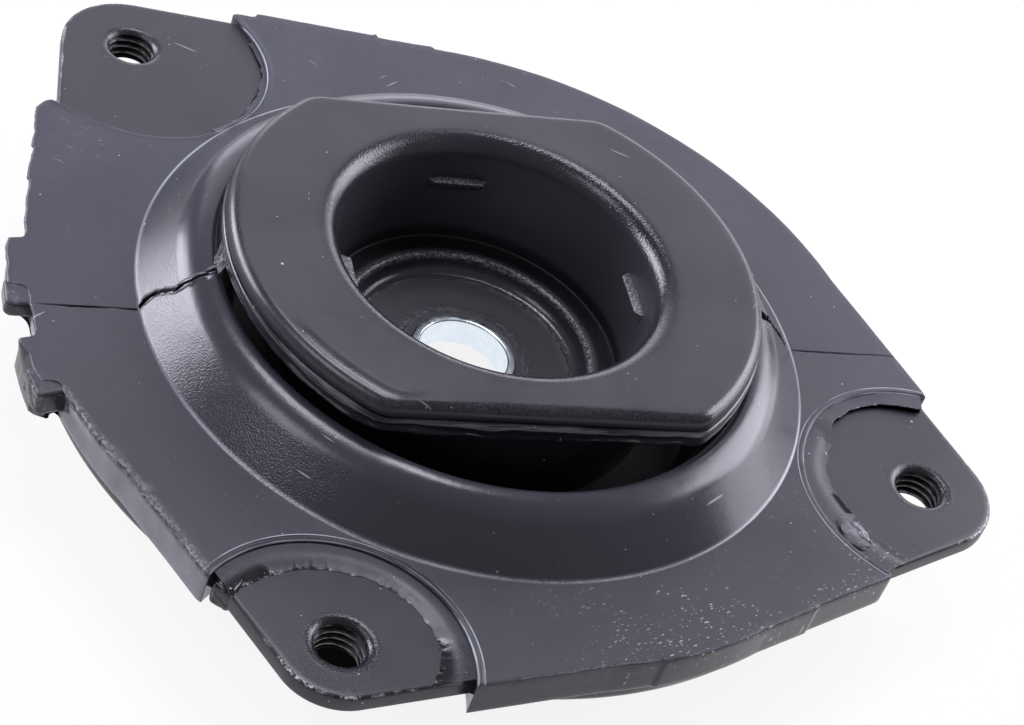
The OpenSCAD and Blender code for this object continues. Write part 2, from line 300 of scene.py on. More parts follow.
def rubber_finish():
    f = Finish("rubber_moulded")
    bead_highlights, bead_rise = patch_beads(f)
    broad = f.cloud(38, 3)
    mottle = f.cloud(260, 5, 0.6)
    grain = f.cloud(3200, 2, 0.5)
    peel = f.cloud(3300, 1, 0.4)
    flecks = f.cloud(1600, 3, 0.6).between(0.42, 0.60)
    cone = f.radius.between(0.0630, 0.0638, 1.0, 0.0) * f.z.between(0.0078, 0.0084)
    pebbled = cone * f.radius.between(0.0564, 0.0572) * f.x.between(0.035, -0.01, 0.08, 1.0)
    # Painted shade: the deep groove inside the collar, down to the sleeve, is painted near black.
    groove_painted_shade = f.z.between(0.014, 0.003) * f.radius.between(0.0555, 0.0535)
    side = f.z.between(0.0080, 0.0072) * f.radius.between(0.0770, 0.0785)
    pad_side = f.z.between(0.0190, 0.0196) * f.radius.between(0.0375, 0.0385)
    dusty = f.cloud(22, 2).between(0.42, 0.72)
    front = f.y.between(-0.034, -0.060) * f.x.between(-0.015, 0.03)
    dust_and_sheen = f.most(f.specks(420, 0.08, 0.11), f.specks(950, 0.10, 0.15)) * (0.3 + dusty * 0.7)
    strokes = f.most(f.specks(560, 0.6, 0.30, (1, 4, 1), 0.45), f.specks(950, 0.7, 0.30, (1, 4, 1), 0.25))
    strokes = strokes * front * f.cloud(75, 4, 0.65).between(0.47, 0.58) * f.radius.between(0.0636, 0.0650)
    hairs = f.most(f.specks(85, 0.035, 0.24, (1, 16, 1), 0.6), f.specks(95, 0.03, 0.22, (1, 15, 1), -0.75))
    raked = f.specks(210, 0.6, 0.30, (1, 11, 1), -0.54) * f.away_from((-72, 41)).between(0.010, 0.004)
    hairs = f.most(hairs, raked * 0.5)
    rubbed = f.attribute("wear") * flecks
    marks = f.most(dust_and_sheen, strokes * 0.75, hairs * 0.5)
    base = f.mix(broad.between(0.3, 0.7), colour(39, 39, 52), colour(48, 48, 61))
    base = f.mix(mottle.between(0.35, 0.75) * 0.35, base, colour(36, 37, 47))
    # Painted shade: the rubber is a shade darker towards the front, -Y.
    front_painted_shade = f.y.between(0.01, -0.075)
    base = f.mix(front_painted_shade * 0.7, base, colour(26, 28, 35))
    base = f.mix(cone * 0.75, base, colour(56, 56, 64))
    base = f.mix(side * 0.8, base, colour(22, 22, 26))
    base = f.mix(pad_side * 0.8, base, colour(24, 24, 28))
    base = f.mix(groove_painted_shade, base, colour(16, 16, 18))
    # Rubbed wear in a pale colour. On the rim's top edge and the cone's foot the wear is also a painted
    # highlight.
    base = f.mix(rubbed * 0.75, base, colour(176, 175, 182))
    # Painted highlights: the fine lines beside the bare patches and the line attribute lighten the colour to
    # a pale grey.
    base = f.mix(f.most(bead_highlights * 0.9, f.attribute("line") * 0.7), base, colour(178, 178, 190))
    base = f.mix(marks, base, colour(196, 196, 200))
    # Painted shade: where pit is set, in cracks, pits and under lips, the colour turns black and metallic.
    base = f.mix(f.attribute("pit"), base, colour(5, 5, 6))
    gloss = (mottle - 0.5) * 0.10 + broad.between(0.3, 0.7, 0.44, 0.54) + marks * 0.2
    gloss = gloss - cone * 0.29 - side * 0.3 - pad_side * 0.2 + rubbed * 0.12 - front_painted_shade * (1 - cone) * 0.09
    lift = f.bump(grain, 0.00003, strength=0.5)
    lift = f.bump(mottle, 0.00008, lift, 0.5)
    lift = f.bump(peel * pebbled, 0.00005, lift, 1.0)
    lift = f.bump(bead_rise, 0.00016, lift, 0.8)
    return f.set(Base_Color=base, Roughness=gloss, Metallic=f.attribute("pit"), Normal=lift)


RUBBER = rubber_finish()
print(RUBBER.name, len(RUBBER.node_tree.nodes), "nodes")

# %% [markdown]
# ## Black paint
# The cup and the lugs wear a dipped black coat over steel. It is a little smoother than the rubber, grainy
# where it pooled round the cup's mouth and shoulder, and rubbed to a bright line along exposed edges. Some
# of its colour is painted light: the pale lines on the cup's shoulder, lip ring and ledges are painted
# highlights, the rolled edge's pale line is partly scuff and partly painted highlight, the inside of the
# cup is painted paler, the front is painted darker as shade, and pit paints black shade on the cup's floor
# ring and under its ledges.

# %% Paint finish
def paint_finish():
    f = Finish("black_paint")
    broad = f.cloud(42, 3)
    mottle = f.cloud(300, 5, 0.6)
    grain = f.cloud(4200, 2, 0.5)
    sand = f.cloud(2600, 2, 0.5)
    flecks = f.cloud(1900, 3, 0.6).between(0.42, 0.58)
    inside = f.z.between(0.0252, 0.0228) * f.radius.between(0.0345, 0.0325)
    dust_and_sheen = f.most(f.specks(380, 0.05, 0.12), f.specks(900, 0.10, 0.15))
    hairs = f.most(f.specks(80, 0.04, 0.24, (1, 16, 1), -0.5), f.specks(95, 0.03, 0.22, (1, 14, 1), 0.9))
    stain = f.cloud(55, 4, 0.65, warp=0.4).between(0.52, 0.66)
    rubbed = f.attribute("wear") * flecks
    marks = f.most(dust_and_sheen, hairs * 0.5)
    base = f.mix(broad.between(0.3, 0.7), colour(30, 30, 39), colour(36, 36, 45))
    base = f.mix(stain * 0.35, base, colour(48, 45, 46))
    # Painted shade: the paint is a shade darker towards the front, -Y.
    front_painted_shade = f.y.between(0.01, -0.075)
    base = f.mix(front_painted_shade * 0.6, base, colour(20, 21, 27))
    # Painted light: the inside of the cup is painted paler, standing in for the light that reaches into it.
    base = f.mix(inside * 0.85, base, colour(50, 50, 56))
    # Rubbed edges in a pale colour: chips on the lugs, while on the cup's shoulder, lip ring and ledges it is
    # a painted highlight, and on its rolled edge it is partly scuff and partly painted highlight.
    base = f.mix(rubbed, base, colour(205, 204, 208))
    base = f.mix(marks * (1 - inside * 0.95), base, colour(170, 170, 172))
    # Painted shade: pit turns the colour black and metallic on the cup's floor ring and under its ledges.
    base = f.mix(f.attribute("pit"), base, colour(7, 7, 8))
    gloss = (mottle - 0.5) * 0.10 + broad.between(0.3, 0.7, 0.40, 0.48) + marks * 0.2
    gloss = gloss - f.attribute("sand") * 0.15 - f.attribute("line") * 0.17 - front_painted_shade * 0.07
    lift = f.bump(grain, 0.00002, strength=0.5)
    lift = f.bump(sand * f.attribute("sand"), 0.00008, lift, 1.0)
    return f.set(Base_Color=base, Roughness=gloss, Metallic=f.attribute("pit"), Normal=lift)


PAINT = paint_finish()
print(PAINT.name, len(PAINT.node_tree.nodes), "nodes")

# %% [markdown]
# ## Zinc and cut steel
# The bush is zinc plated: a cool silver with faint turned lines and a cloudy passivation film. The threads
# were cut after painting, so they are dark oily steel with bright crests.

# %% Metal finishes
def zinc_finish():
    f = Finish("zinc_plate")
    cloudy = f.cloud(420, 4, 0.6)
    rings = f.start.node("TexNoise", {"W": f.radius * 9000 + f.z * 9000, "Scale": 1.0, "Detail": 2.0},
                         noise_dimensions="1D")
    base = f.mix(cloudy.between(0.35, 0.7), colour(226, 236, 245), colour(240, 245, 250))
    base = f.mix(f.specks(900, 0.05, 0.14), base, colour(140, 140, 140))
    gloss = cloudy.between(0.3, 0.7, 0.16, 0.28)
    return f.set(Base_Color=base, Metallic=1.0, Roughness=gloss, Normal=f.bump(rings, 0.00001, strength=0.4))


def thread_finish():
    f = Finish("cut_steel")
    mottle = f.cloud(700, 4, 0.6)
    crest = f.attribute("wear") * mottle.between(0.3, 0.6)
    base = f.mix(mottle.between(0.3, 0.7), colour(24, 24, 26), colour(44, 43, 45))
    base = f.mix(crest * 0.8, base, colour(150, 150, 154))
    return f.set(Base_Color=base, Metallic=0.85, Roughness=mottle.between(0.3, 0.7, 0.28, 0.46),
                 Normal=f.bump(mottle, 0.00002, strength=0.4))


ZINC = zinc_finish()
THREAD = thread_finish()
print(ZINC.name, THREAD.name)

# %% [markdown]
# ## Sections and spins
# Most of this part is turned or drawn, so most meshes start as half a section in the XZ plane. Its corners
# are rounded with a vertex bevel, long edges are cut, and a full spin makes the solid. A Screw modifier
# would do the same, but the bmesh spin leaves real vertices that the next cells can push about.

# %% Helpers for sections, spins and pieces
def section(corners, longest):
    """A closed outline from (radius, height, rounding) corners in mm, cut so that no edge is too long."""
    bm = bmesh.new()
    verts = [bm.verts.new((r * MM, 0, z * MM)) for r, z, _ in corners]
    for one, two in zip(verts, verts[1:] + verts[:1]):
        bm.edges.new((one, two))
    count = len(corners)
    for i, (r, z, rounding) in enumerate(corners):
        if not rounding:
            continue
        here = Vector((r, z))
        ways = [(Vector(corners[j % count][:2]) - here).normalized() for j in (i - 1, i + 1)]
        reach = rounding / math.tan(ways[0].angle(ways[1]) / 2)
        bmesh.ops.bevel(bm, geom=[verts[i]], offset=reach * MM, offset_type="ABSOLUTE", affect="VERTICES",
                        segments=max(2, min(10, round(3 + 2 * rounding))), profile=0.5, material=-1,
                        clamp_overlap=False)
    for edge in bm.edges[:]:
        middle = (edge.verts[0].co + edge.verts[1].co) / 2 / MM
        cuts = math.ceil(edge.calc_length() / MM / longest(middle.x, middle.z)) - 1
        if cuts > 0:
            bmesh.ops.subdivide_edges(bm, edges=[edge], cuts=cuts)
    return bm


def points(bm):
    """The vertices' places in mm, as an array."""
    return np.array([v.co for v in bm.verts]) / MM


def move_to(bm, places):
    for vert, place in zip(bm.verts, places * MM):
        vert.co = place


def round_axis(angle, ring, height):
    """Places in mm from angles in radians, distances from the axis and heights."""
    return np.column_stack([np.cos(angle) * ring, np.sin(angle) * ring, height])


def spun(bm, steps, cuts):
    """Spins a closed section round the Z axis in a few steps and cuts each step into finer ones."""
    bmesh.ops.spin(bm, geom=bm.verts[:] + bm.edges[:], cent=(0, 0, 0), axis=(0, 0, 1), angle=math.tau,
                   steps=steps, use_merge=True)
    hoops = [e for e in bm.edges if abs(e.verts[0].co.xy.cross(e.verts[1].co.xy)) > 1e-8]
    bmesh.ops.subdivide_edges(bm, edges=hoops, cuts=cuts - 1)
    bmesh.ops.recalc_face_normals(bm, faces=bm.faces[:])
    at = points(bm)
    step = math.tau / steps
    angle = np.arctan2(at[:, 1], at[:, 0]) % math.tau
    begun = np.floor(angle / step + 1e-6)
    off = angle - (begun + 0.5) * step
    angle = (begun + 0.5 + np.tan(off) / (2 * math.tan(step / 2))) * step
    ring = np.hypot(at[:, 0], at[:, 1]) * np.cos(off) / math.cos(step / 2)
    move_to(bm, round_axis(angle, ring, at[:, 2]))
    return bm


def smooth(value, low, high):
    """A smooth step from 0 at low to 1 at high."""
    t = np.clip((value - low) / (high - low), 0, 1)
    return t * t * (3 - 2 * t)


def rough(places, scale, seed=0.0):
    """Blender's noise, about -1 to 1, at each place in mm."""
    shift = Vector((seed * 17.3, seed * 5.1, seed * 9.7))
    return np.array([noise.noise(Vector(p) * scale + shift) for p in places])


def piece(name, bm, materials, slot, node, **attributes):
    """Makes the object, shades it, stores its attributes and ties it to the frame."""
    mesh = bpy.data.meshes.new(name)
    bm.to_mesh(mesh)
    bm.free()
    for material in materials:
        mesh.materials.append(material)
    mesh.shade_smooth()
    mesh.set_sharp_from_angle(angle=math.radians(38))
    for key in ("wear", "line", "pit", "sand"):
        values = np.asarray(attributes.get(key, np.zeros(len(mesh.vertices))), np.float32)
        mesh.attributes.new(key, "FLOAT", "POINT").data.foreach_set("value", np.clip(values, 0, 1))
    obj = bpy.data.objects.new(name, mesh)
    scene.collection.objects.link(obj)
    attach(obj, "root")
    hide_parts(node)
    mesh.calc_loop_triangles()
    print(name, len(mesh.loop_triangles), "triangles")


def rubber_piece(name, bm, **attributes):
    """A piece of the rubber moulding."""
    piece(name, bm, [RUBBER], "rubber", "rubber_body", **attributes)


square = section([(1, 0, 0.2), (2, 0, 0.2), (2, 1, 0.2), (1, 1, 0.2)], lambda r, z: 1.0)
print("a square with rounded corners has", len(square.verts), "points")
square.free()

# %% [markdown]
# ## Plan of the plate
# Seen from above, the plate is a disc with three lugs, and the rubber stops short of each lug along a round
# bare patch. The rubber's edge is laid out once as a loop of points: along a patch, out to the rim, round
# to the next patch. Where the mould's two halves met, the points lie closer, so that a fine crack can be
# cut there.

# %% Rim and bare patches
LUGS = ((92.0, 127.0, 13.7), (88.0, -24.5, 14.0), (85.0, -117.0, 11.4))
PLATE_R = 81.0
JOIN_R = 63.5
PARTING = (181.8, 357.4)
FLASH_RIM = ((142.5, 91.3), (146.2, 92.0), (150.4, 89.0), (153.0, 87.9), (153.2, 87.3), (158.9, 85.7),
             (159.2, 85.1), (168.7, 83.2), (169.9, 83.0), (170.2, 85.8), (172.0, 86.2), (175.0, 85.8),
             (178.3, 86.1), (178.6, 82.4), (183.7, 82.2), (187.0, 82.5), (187.3, 85.6), (188.0, 85.9),
             (189.8, 84.9), (193.0, 85.2), (194.5, 84.8), (194.9, 81.9), (200.0, 81.6), (210.0, 81.0))
STEPS = (153.1, 159.1, 170.05, 178.45, 187.15, 194.7)
BLOCK_WALL = ((142.0, 81.0), (170.0, 81.0), (170.6, 85.2), (178.2, 85.4), (178.7, 81.0), (187.0, 81.0),
              (187.4, 85.4), (194.6, 86.0), (195.0, 81.0), (210.0, 81.0))


def turn_apart(one, two):
    """The angle in degrees between two directions."""
    return np.abs((one - two + 180) % 360 - 180)


def rim_radius(angle, flash=FLASH_RIM):
    """Distance of the rubber's rim from the axis at angles in degrees, bare patches apart."""
    radius = np.maximum(PLATE_R, np.interp(angle % 360, *zip(*flash), left=0, right=0))
    for lug_r, lug_angle, end in LUGS:
        off = turn_apart(angle, lug_angle)
        lean = math.degrees(math.acos((PLATE_R - 0.3 - (end + 1.7)) / lug_r))
        side = (PLATE_R - 0.3) / np.cos(np.radians(np.minimum(np.abs(lean - off), 80)))
        radius = np.where(off < lean, np.maximum(radius, side), radius)
    return radius


def patch_points(patch, psi):
    """Points of a patch's edge. Psi is 0 on the side of the axis and grows clockwise."""
    radius, angle, _ = patch
    way = math.radians(angle + 180) + psi
    return patch_centre(patch) + radius * np.column_stack([np.cos(way), np.sin(way)])


def patch_ends(patch):
    """The two values of psi where the patch's edge is square to the rim."""
    radius, _, land = patch
    most = math.acos(radius / (COLLAR_R + land + radius))
    return most, -most


def polar(radius, angle):
    """Points in the plan from distances and angles in degrees."""
    return np.column_stack([radius * np.cos(np.radians(angle)), radius * np.sin(np.radians(angle))])


def angle_of(point):
    return math.degrees(math.atan2(point[1], point[0]))


print("the rim reaches", round(float(rim_radius(np.arange(360.0)).max()), 1), "mm from the axis")

# %% [markdown]
# Now the loop is walked, patch by patch. Its points lie about 0.4 mm apart, closer at steps and where the
# mould parted, and the corners where a patch meets the rim are eased by averaging each point with its
# neighbours. A curve could draw such an edge too, but the spin that follows needs one spoke for every point.

# %% The rubber's edge as a loop
def along_rim(start, end):
    """Angles from one patch to the next, close together where the mould parted."""
    fine = np.linspace(start, end, 20000)
    gap = np.full_like(fine, 0.44)
    for line in PARTING:
        gap = np.where(turn_apart(fine, line) < 1.3, 0.10, gap)
    for line in STEPS:
        gap = np.where(turn_apart(fine, line) < 0.35, 0.12, gap)
    run = np.concatenate([[0], np.cumsum(np.diff(np.radians(fine)) * PLATE_R / gap[1:])])
    return np.interp(np.linspace(0, run[-1], round(run[-1])), run, fine)


def straight(one, two):
    """Points between two others, about 0.4 mm apart."""
    share = np.linspace(0, 1, round(math.dist(one, two) / 0.4) + 1)[1:-1, None]
    return one * (1 - share) + two * share


def rubber_loop():
    """The edge, anticlockwise from the third lug: points, foot angles, and the patch of each point or -1."""
    order = sorted(range(3), key=lambda i: PATCHES[i][1])
    arcs = []
    for i in order:
        first, last = patch_ends(PATCHES[i])
        count = round(PATCHES[i][0] * (first - last) / 0.36)
        arcs.append(patch_points(PATCHES[i], np.linspace(first, last, count)))
    runs = []
    feet = []
    owner = []
    for turn, (i, arc) in enumerate(zip(order, arcs)):
        after = arcs[(turn + 1) % 3]
        start, stop = angle_of(arc[-1]), angle_of(after[0])
        angles = along_rim(start, stop + (360 if stop < start else 0))
        rim = polar(rim_radius(angles), angles)
        out = straight(arc[-1], rim[0])
        home = straight(rim[-1], after[0])
        way = np.vstack([out, rim, home])
        for corner in (len(out), len(out) + len(rim) - 1):
            for _ in range(10):
                near = way[corner - 6:corner + 7]
                near[1:-1] = (near[:-2] + 2 * near[1:-1] + near[2:]) / 4
        fan = 2.5
        begun = np.radians(angles - angles[0]) * PLATE_R
        ahead = np.radians(angles[-1] - angles) * PLATE_R
        rise = smooth(begun, 9, 0) - smooth(ahead, 9, 0)
        spread = [start + fan * np.linspace(0, 1, len(out) + 2)[1:-1], angles + fan * rise,
                  angles[-1] - fan * np.linspace(1, 0, len(home) + 2)[1:-1]]
        runs += [arc, way]
        feet += [np.degrees(np.unwrap(np.arctan2(arc[:, 1], arc[:, 0]))), *spread]
        owner += [i] * (len(arc) + len(out)) + [-1] * len(rim) + [order[(turn + 1) % 3]] * len(home)
    owner = np.array(owner)
    spare = np.flatnonzero(owner < 0)
    spare = spare[np.linspace(60, len(spare) - 60, len(owner) % 40).astype(int)]
    return [np.delete(row, spare, 0) for row in (np.vstack(runs), np.concatenate(feet), owner)]


loop, foot_angle, loop_patch = rubber_loop()
side_way = np.roll(loop, -1, 0) - np.roll(loop, 1, 0)
loop_out = np.column_stack([side_way[:, 1], -side_way[:, 0]]) / np.linalg.norm(side_way, axis=1)[:, None]
print("the rubber's edge has", len(loop), "points")

# %% [markdown]
# ## Rubber coat
# The coat over the plate is a flat slab with a rim and a round bead below. A spin of its section gives as
# many spokes as the loop has points, and then every vertex slides along its spoke: the rim's rings follow
# the loop at their own depth, and the rings of the flat spread evenly between the collar's foot and the
# rim.

# %% Coat: spin and spread
COAT = [(JOIN_R, 8.3, 0), (PLATE_R, 8.3, 0.5), (PLATE_R, 0.8, 0.7), (79.5, 0.8, 0.3), (79.5, -3.7, 2),
        (71.5, -3.7, 2), (71.5, 0.8, 1), (JOIN_R, 0.8, 0)]
EDGE = 0.8


def coat_longest(r, z):
    if z > 8.2:
        return 1.3 if r < 78 else 0.25 if r > 79.8 else 0.6
    return 1.1 if r > 80.5 else 4.0


coat = spun(section(COAT, coat_longest), len(loop) // 40, 40)
spun_at = points(coat)
spoke = np.rint(np.arctan2(spun_at[:, 1], spun_at[:, 0]) / math.tau * len(loop)).astype(int) % len(loop)
ring = np.hypot(spun_at[:, 0], spun_at[:, 1])
depth = PLATE_R - ring
height = spun_at[:, 2]
room = np.hypot(*loop.T) - JOIN_R
edge = np.minimum(EDGE, 0.6 * room)
wall = loop - loop_out * edge[:, None]
for _ in range(40):
    wall = (np.roll(wall, 1, 0) + 2 * wall + np.roll(wall, -1, 0)) / 4
foot = polar(JOIN_R, foot_angle)
share = np.clip((ring - JOIN_R) / (PLATE_R - EDGE - JOIN_R), 0, 1)[:, None]
flat = foot[spoke] * (1 - share) + wall[spoke] * share
rim = loop[spoke] + (wall - loop)[spoke] * (np.minimum(depth, EDGE) / EDGE)[:, None]
plan = np.where((depth <= EDGE)[:, None], rim, flat)
under = (height < 0.75) & (depth > EDGE)
true_r = np.minimum(ring, JOIN_R + np.maximum(room[spoke] - 1.0, 0.3))
plan = np.where(under[:, None], polar(true_r, foot_angle[spoke]), plan)
bead = smooth(room[spoke], 12.0, 17.0)
height = np.where(height < 0.8, 0.8 + (height - 0.8) * bead, height)
coat_at = np.column_stack([plan, height])
print("coat", len(coat_at), "points on", len(loop), "spokes")

# %% [markdown]
# ## Torn edges and the mould's parting line
# Flash was torn off the rim by hand, which left ragged bites in its upper edge, and where the mould's
# halves met there is a thin crack. Both are pushed into the mesh with noise, because a picture of a crack
# would lie flat from other sides.

# %% Coat: wear and cracks
angle = np.degrees(np.arctan2(coat_at[:, 1], coat_at[:, 0])) % 360
on_patch = loop_patch[spoke] >= 0
at_top = smooth(height, 6.6, 8.2) * smooth(depth, 1.4, 0.3)
edge_line = smooth(np.abs(depth - 0.14), 0.24, 0.05) * (height > 8.0)
bite = rough(coat_at * [1, 1, 0.4], 0.55, 1) + 0.6 * rough(coat_at, 1.5, 2)


def span(first, last, blur=1.5):
    """1 between two angles in degrees and 0 outside them."""
    return smooth(angle, first - blur, first) * smooth(angle, last + blur, last)


ragged = 0.06 + 0.9 * span(197, 214) + 0.45 * span(214, 226) + 0.3 * span(142, 196)
ragged += 0.2 * span(262, 322) + 0.2 * span(70, 110)
push = np.where(on_patch, 0.05, 0.5 * ragged) * at_top * (bite - 0.25)
push += np.where(on_patch, 0, 0.07) * smooth(depth, 1.2, 0.2) * rough(coat_at * [0.3, 0.3, 0.3], 0.35, 3)
set_back = rim_radius(angle, BLOCK_WALL) - rim_radius(angle)
push += np.where(on_patch, 0, set_back) * smooth(height, 7.4, 6.2) * (depth <= EDGE) * span(144, 208)
for first, last, step in ((84.6, 93.0, 0.7), (93.0, 108.6, 1.2), (282.0, 306.0, 0.35)):
    push += np.where(on_patch, 0, step) * span(first, last, 0.35) * smooth(depth, 1.2, 0.4)
coat_at[:, :2] += loop_out[spoke] * push[:, None]
coat_at[:, 2] -= 0.35 * ragged * at_top * np.clip(bite, 0, 1) * ~on_patch
lip = np.where(on_patch, smooth(depth, 1.0, 0.5) * smooth(depth, 0.1, 0.4), 0) * smooth(height, 8.0, 8.2)
coat_at[:, 2] += 0.14 * lip * (0.7 + 0.5 * rough(coat_at, 0.3, 4))


def crack_y(x):
    """The parting line's wandering path, as y in mm for each x."""
    return np.where(x < 0, -2.45, -3.15) + 0.16 * rough(np.column_stack([x, x * 0, x * 0]), 0.7, 5)


gap = np.abs(coat_at[:, 1] - crack_y(coat_at[:, 0]))
seam = smooth(gap, 0.30, 0.08) * smooth(height, 7.5, 8.2) * (depth > 0.4)
SEAM_X = (-82, -78, -74, -70, -67, -65.5, 64, 70, 81)
SEAM_DEPTH = (0.1, 0.5, 1, 0.75, 0.3, 1, 0.5, 0.7, 0.4)
seam *= np.interp(coat_at[:, 0], SEAM_X, SEAM_DEPTH) * (0.6 + 0.6 * np.abs(rough(coat_at, 0.4, 6)))
coat_at[:, 2] -= 0.45 * seam
move_to(coat, coat_at)
broken = np.clip(0.55 + 1.3 * rough(coat_at, 0.16, 16), 0, 1)
# The rim's top edge gets a pale broken line, partly rubbed wear and partly a painted highlight.
coat_line = 0.28 * edge_line * ~on_patch * (0.25 + 0.75 * broken)
coat_wear = 0.35 * at_top * (ragged > 0.4) + 0.4 * edge_line * ~on_patch * broken
# A painted pale sheen on the notch's wall and the rim's walls on the left, standing in for the light they
# mirror.
notch_wall = span(179, 187, 0.4) * (depth <= EDGE) * smooth(height, 7.8, 7.2)
left_wall_sheen = span(197, 246, 1.0) * (depth <= EDGE) * smooth(height, 7.8, 7.2) * ~on_patch
dust_and_sheen = 0.7 * notch_wall + 0.52 * left_wall_sheen * (0.85 + 0.25 * rough(coat_at * [1, 1, 0.6], 0.3, 17))
coat_line = np.maximum(coat_line, np.clip(dust_and_sheen, 0, 1))
# Painted shade: the parting crack is painted black through pit.
rubber_piece("rubber_coat", coat, wear=coat_wear, line=coat_line, pit=seam * 1.4)

# %% [markdown]
# ## Collar and groove
# The raised collar, the deep groove inside it and the boss below the plate are one continuous section. Its
# spokes lie closer together where the mould parted, because a crack runs up the cone there.

# %% Collar: spin
COLLAR = [(JOIN_R, 0.8, 0), (JOIN_R, 8.3, 0), (COLLAR_R, 8.3, 0.8), (54.5, 17.3, 7.5), (50.2, 17.3, 1.5),
          (44.2, -0.7, 2.5), (36.2, -0.7, 0), (34, -2.5, 0), (29.5, -2.8, 1), (31, -15.7, 1), (46, -15.7, 2),
          (51, 0.8, 3)]
SPOKES = 900


def collar_longest(r, z):
    if r > 54 and z > 8:
        return 0.4
    return 1.0 if r > 50 and z > 10 else 4.0


def spoke_angles(count):
    """Evenly spaced angles in radians, gathered where the mould parted."""
    fine = np.linspace(0, 360, 20000)
    weight = np.ones_like(fine)
    for line in PARTING:
        weight += 4.0 * smooth(turn_apart(fine, line + 0.4), 5.0, 3.0)
    run = np.concatenate([[0], np.cumsum(weight[1:])])
    return np.radians(np.interp(np.arange(count) / count * run[-1], run, fine))


collar = spun(section(COLLAR, collar_longest), SPOKES // 15, 15)
spun_at = points(collar)
spoke = np.rint(np.arctan2(spun_at[:, 1], spun_at[:, 0]) / math.tau * SPOKES).astype(int) % SPOKES
turn_to = spoke_angles(SPOKES)[spoke]
ring = np.hypot(spun_at[:, 0], spun_at[:, 1])
height = spun_at[:, 2].copy()
collar_at = np.column_stack([polar(ring, np.degrees(turn_to)), height])
print("collar", len(ring), "points")

# %% [markdown]
# The crack runs on from the plate up the cone, jagged on one side and torn wide on the other. It is a path
# of a few points: each vertex near the path sinks, and the rims beside it rise a little.

# %% Collar: cracks on the cone
def path_gap(x, y, path):
    """How far each point lies in y from a path given as (x, y) points."""
    xs, ys = zip(*sorted(path))
    return y - np.interp(x, xs, ys)


LEFT_PATH = ((-64.3, -2.5), (-63.0, -1.9), (-62.1, -1.0), (-60.9, -0.8), (-59.9, -1.25), (-58.6, -2.1),
             (-57.9, -2.8), (-56.6, -2.5), (-55.6, -2.7), (-54.4, -2.1), (-53.2, -2.2), (-52.0, -1.2),
             (-51.1, -0.6), (-50.3, 0.9))
RIGHT_PATH = ((50.5, -2.0), (54.5, -2.6), (56.7, -2.3), (58.5, -2.9), (60.0, -2.6), (61.5, -3.2),
              (63.5, -3.1))
on_cone = (height > 8.35) & (ring > 49) & (height < 18)
jag = 0.30 * rough(collar_at, 0.9, 12) + 0.15 * rough(collar_at, 2.6, 13)
left = path_gap(collar_at[:, 0], collar_at[:, 1], LEFT_PATH) + jag
right = path_gap(collar_at[:, 0], collar_at[:, 1], RIGHT_PATH) + 2.2 * jag
left_half = (collar_at[:, 0] < 0) * on_cone
right_half = (collar_at[:, 0] > 0) * on_cone
crack_width = np.interp(ring, (52, 58, 63), (0.6, 0.95, 1.6))
cut_left = smooth(np.abs(left) / crack_width, 0.42, 0.14) * left_half
cut_right = smooth(np.abs(right), 1.25, 0.6) * right_half * smooth(ring, 62.6, 61.0)
raised = smooth(np.abs(left), 1.1, 0.5) * left_half - cut_left
collar_at[:, 2] += 0.22 * np.clip(raised, 0, 1) - 0.9 * cut_left - 1.3 * cut_right
move_to(collar, collar_at)
# The crease at the cone's foot gets a pale painted highlight through line and wear, and the cracks are
# painted black through pit as shade.
crease = smooth(np.abs(ring - COLLAR_R), 0.34, 0.06) * (height > 8)
collar_line = crease * np.clip(0.65 + 0.7 * rough(collar_at, 0.06, 15), 0, 1)
collar_wear = 0.3 * crease * (np.degrees(turn_to) > 215) * (np.degrees(turn_to) < 290)
rubber_piece("rubber_collar", collar, wear=collar_wear, line=0.8 * collar_line,
             pit=1.3 * (cut_left + cut_right))

# %% [markdown]
# ## Pad and its flash
# A rubber sleeve climbs the cup and spreads into a pad that carries the flange. The flange is a disc with
# two flats, and so is the pad: one function gives the distance from the axis to that outline in any
# direction, rounded corners included. The pad's edge gets the wavy lips of flash that squeezed out under
# the steel.

# %% Pad
def double_d(angle, radius, flat, corner):
    """Distance from the axis to a disc with two flats and rounded corners."""
    across = np.abs(np.cos(angle))
    along = np.abs(np.sin(angle))
    mid_y = flat - corner
    mid_x = math.sqrt((radius - corner) ** 2 - mid_y ** 2)
    reach = mid_x * across + mid_y * along
    turned = reach + np.sqrt(np.maximum(reach ** 2 - mid_x ** 2 - mid_y ** 2 + corner ** 2, 0))
    straight = flat / np.maximum(along, 1e-6)
    on_arc = along * mid_x < across * mid_y
    on_flat = across * flat < along * mid_x
    return np.where(on_arc, radius, np.where(on_flat, straight, turned))


SLEEVE_R = 36.2
PAD_R = 50.4
PAD = [(31.6, 0.1, 4), (26.6, 0.1, 1), (26.34, -1.3, 0), (SLEEVE_R, -1.3, 0), (SLEEVE_R, 20, 2),
       (PAD_R, 20, 0.7), (PAD_R, 22.9, 0.5), (33, 22.9, 2)]
pad_bm = spun(section(PAD, lambda r, z: 0.25 if r > 50 else 0.5 if r > 47 else 3.0), 60, 14)
pad_at = points(pad_bm)
turn_to = np.arctan2(pad_at[:, 1], pad_at[:, 0]) % math.tau
ring = np.hypot(pad_at[:, 0], pad_at[:, 1])
height = pad_at[:, 2].copy()
way = np.column_stack([np.cos(turn_to), np.sin(turn_to)])
pad = (height > 19.0) & (ring > 36.3)
pad_edge = double_d(turn_to, PAD_R, 40.9, 6.0)
pulled = SLEEVE_R + (ring - SLEEVE_R) * (pad_edge - SLEEVE_R) / (PAD_R - SLEEVE_R)
kept = pad_edge - (PAD_R - ring)
ring = np.where(pad, np.where(ring > 48.6, kept, pulled), ring)
pad_at = np.column_stack([way * ring[:, None], height])
rim_pad = pad * smooth(ring - pad_edge, -1.2, -0.3)
